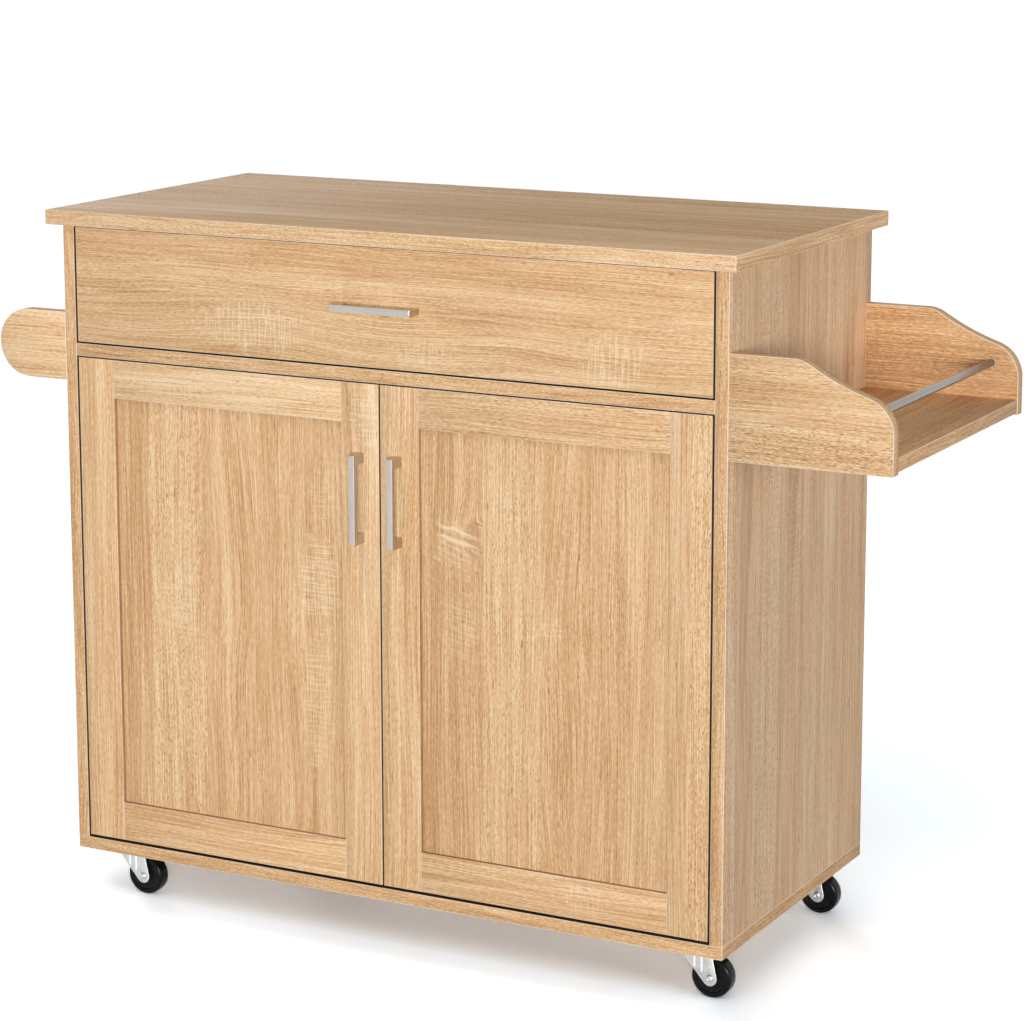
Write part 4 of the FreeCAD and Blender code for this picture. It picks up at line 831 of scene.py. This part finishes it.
def dress_caster(corner):
    """Turn a caster's wheel and axle anew, and dress its fork."""
    wheel, axle, fork = [f"{corner}_{part}" for part in ("wheel", "axle", "fork")]
    centre = middle_of(wheel)
    shape = turned(mirrored(WHEEL_HALF), centre, True, WHEEL_SEGMENTS)
    finish_piece(shape, wheel + "_moulded", wheel, FITTING_SMOOTH)
    shape = turned(mirrored(AXLE_HALF), centre, False, AXLE_SEGMENTS)
    finish_piece(shape, axle + "_riveted", axle, FITTING_SMOOTH)
    dress_fork(fork, centre)


for corner in ("front_left", "front_right", "rear_left", "rear_right"):
    dress_caster(corner)

# Fittings with a cross drive: the radius of their heads in millimetres
SCREW_HEAD, CAM_HEAD = 3.6, 7.1
DRIVES = {"cabinet_screws": SCREW_HEAD, "drawer_screws": SCREW_HEAD, "left_door_fixings": SCREW_HEAD,
          "right_door_fixings": SCREW_HEAD, "cam_locks": CAM_HEAD}
# The drive in a screw's head, in millimetres: half length and half width of its arms, and its depth
DRIVE_ARM, DRIVE_BLADE, DRIVE_DEPTH = 2.3, 0.45, 1.0
DRIVE_SEED = 7
# A head has at least this many corners, and each lies within this share of its radius
HEAD_CORNERS, HEAD_SLACK = 16, 0.04


def ring_middle(face):
    """The middle of a face's corners."""
    return sum((v.co for v in face.verts), Vector()) / len(face.verts)


def is_head(face, radius):
    """Whether a face is round and has this radius."""
    if len(face.verts) < HEAD_CORNERS:
        return False
    middle = ring_middle(face)
    return all(abs((v.co - middle).length / radius - 1) <= HEAD_SLACK for v in face.verts)


def cross_recess(shape, head, draw):
    """Sink a cross-shaped drive into each round face of this radius in millimetres, turned at random."""
    size = head / SCREW_HEAD
    arm, blade, depth = DRIVE_ARM * size * MM, DRIVE_BLADE * size * MM, DRIVE_DEPTH * MM
    for face in [face for face in shape.faces if is_head(face, head * MM)]:
        middle, normal, outer = ring_middle(face), face.normal.copy(), face.edges[:]
        side = Matrix.Rotation(draw.uniform(0, math.tau), 3, normal) @ normal.orthogonal().normalized()
        other = normal.cross(side)
        shape.faces.remove(face)
        rim = []
        for quarter in range(4):
            for x, y in ((arm, -blade), (arm, blade), (blade, blade)):
                for _ in range(quarter):
                    x, y = -y, x
                rim.append(shape.verts.new(middle + side * x + other * y))
        low = [shape.verts.new(v.co - normal * depth) for v in rim]
        walls = list(zip(rim, rim[1:] + rim[:1], low[1:] + low[:1], low))
        inner = [shape.edges.new(wall[:2]) for wall in walls]
        bmesh.ops.triangle_fill(shape, use_beauty=True, use_dissolve=False, edges=outer + inner,
                                normal=normal)
        for wall in walls:
            shape.faces.new(wall)
        shape.faces.new(low)
    bmesh.ops.recalc_face_normals(shape, faces=shape.faces[:])


def dress_fitting(node, draw):
    """Soften a fitting's edges, and sink the drives of screws and cam discs."""
    shape = welded(node)
    bevel(shape, SCREW_EDGE if node in DRIVES else FITTING_EDGE, FITTING_SHARP, clamp=True)
    if node in DRIVES:
        cross_recess(shape, DRIVES[node], draw)
    finish_piece(shape, node + "_finished", node, FITTING_SMOOTH)


# The nodes that no piece stands for yet are the fittings
draw = random.Random(DRIVE_SEED)
for node, piece in NODES.items():
    if piece.data.vertices and not piece.hide_render:
        dress_fitting(node, draw)

# Floor and light: the floor's colour for light and for the camera, and the world's strength for both
FLOOR_HALF, FLOOR_GREY, FLOOR_SEEN = 60, (0.50, 0.50, 0.50), (2.38, 2.56, 2.72)
WORLD_LIGHT, WORLD_SEEN = 0.10, 1.0
WHITE = (1.0, 1.0, 1.0)
# Lamps: the way they shine, strength, angle in degrees, colour
LAMPS = {
    "front": ((-0.5, 1.0, -0.065), 3.08, 18.0, WHITE),
    "key": ((-0.15, 1.0, -1.3), 0.55, 40.0, WHITE),
    "top": ((0.4, -0.3, -1.0), 0.30, 60.0, WHITE),
    "side": ((-1.0, 0.30, -0.10), 0.66, 22.0, (0.95, 0.99, 1.06)),
    "rear": ((1.0, -1.0, -0.10), 1.50, 14.0, WHITE),
}


def studio_floor():
    """A wide floor, grey to the light and white to the camera outside the shadows."""
    net = MaterialNet("floor")
    net.tree.nodes.remove(net.shader)
    paint = net.node("BsdfDiffuse")
    net.feed(paint.inputs["Color"], net.mix(net.seen(), FLOOR_GREY, FLOOR_SEEN))
    net.feed(net.tree.nodes["Material Output"].inputs["Surface"], paint.outputs[0])
    mesh = bpy.data.meshes.new("floor")
    corners = [(x * FLOOR_HALF, y * FLOOR_HALF, 0) for x, y in ((-1, -1), (1, -1), (1, 1), (-1, 1))]
    mesh.from_pydata(corners, [], [(0, 1, 2, 3)])
    mesh.materials.append(net.owner)
    floor = put_in_scene("floor", mesh)


def studio_world():
    """White all round, faint as a light and full to the camera."""
    net = Net(bpy.data.worlds.new("studio"))
    bpy.context.scene.world = net.owner
    level = net.node("MapRange")
    for name, value in (("Value", net.seen()), ("To Min", WORLD_LIGHT), ("To Max", WORLD_SEEN)):
        net.feed(level.inputs[name], value)
    background = net.tree.nodes["Background"]
    net.feed(background.inputs["Strength"], level.outputs[0])
    net.feed(background.inputs["Color"], (*WHITE, 1))


def lamp(name, direction, strength, angle, colour):
    """A wide soft sun that shines along a direction."""
    data = bpy.data.lights.new(name, "SUN")
    data.energy = strength
    data.color = colour
    data.angle = math.radians(angle)
    made = put_in_scene(name, data)
    made.rotation_mode = "QUATERNION"
    made.rotation_quaternion = Vector(direction).to_track_quat("-Z", "Y")


studio_floor()
studio_world()
for name, (direction, strength, angle, colour) in LAMPS.items():
    lamp(name, direction, strength, angle, colour)

# The photo's camera, solved from the cabinet's corners: angles in radians, the photo's pixels, metres. Its
# optical centre lies on CENTRE_ROW, above the middle row of the photo.
YAW, PITCH, ROLL = -0.4835, -0.1838, -0.0012
FOCAL_PX, PICTURE_PX, CENTRE_ROW, MIDDLE_ROW = 3173.14, 1024.0, 408.0, 510.5
CAMERA_PLACE = (1.778578, -3.357721, 1.340444)
SENSOR_MM = 36.0
CLIP_END = 50.0


def camera_turn():
    """The camera's turn, from its yaw, pitch and roll."""
    forward = Vector((math.sin(YAW) * math.cos(PITCH), math.cos(YAW) * math.cos(PITCH), math.sin(PITCH)))
    level_right = Vector((math.cos(YAW), -math.sin(YAW), 0))
    level_up = level_right.cross(forward)
    right = level_right * math.cos(ROLL) + level_up * math.sin(ROLL)
    up = level_up * math.cos(ROLL) - level_right * math.sin(ROLL)
    return Matrix((right, up, -forward)).transposed().to_4x4()


def photo_camera():
    """A camera that stands and looks as the photo's did."""
    data = bpy.data.cameras.new("camera")
    data.sensor_width = SENSOR_MM
    data.lens = FOCAL_PX / PICTURE_PX * SENSOR_MM
    data.shift_y = -(MIDDLE_ROW - CENTRE_ROW) / PICTURE_PX
    data.clip_end = CLIP_END
    camera = put_in_scene("camera", data)
    camera.matrix_world = Matrix.Translation(CAMERA_PLACE) @ camera_turn()
    bpy.context.scene.camera = camera


photo_camera()
bpy.context.scene.view_settings.view_transform = "Standard"
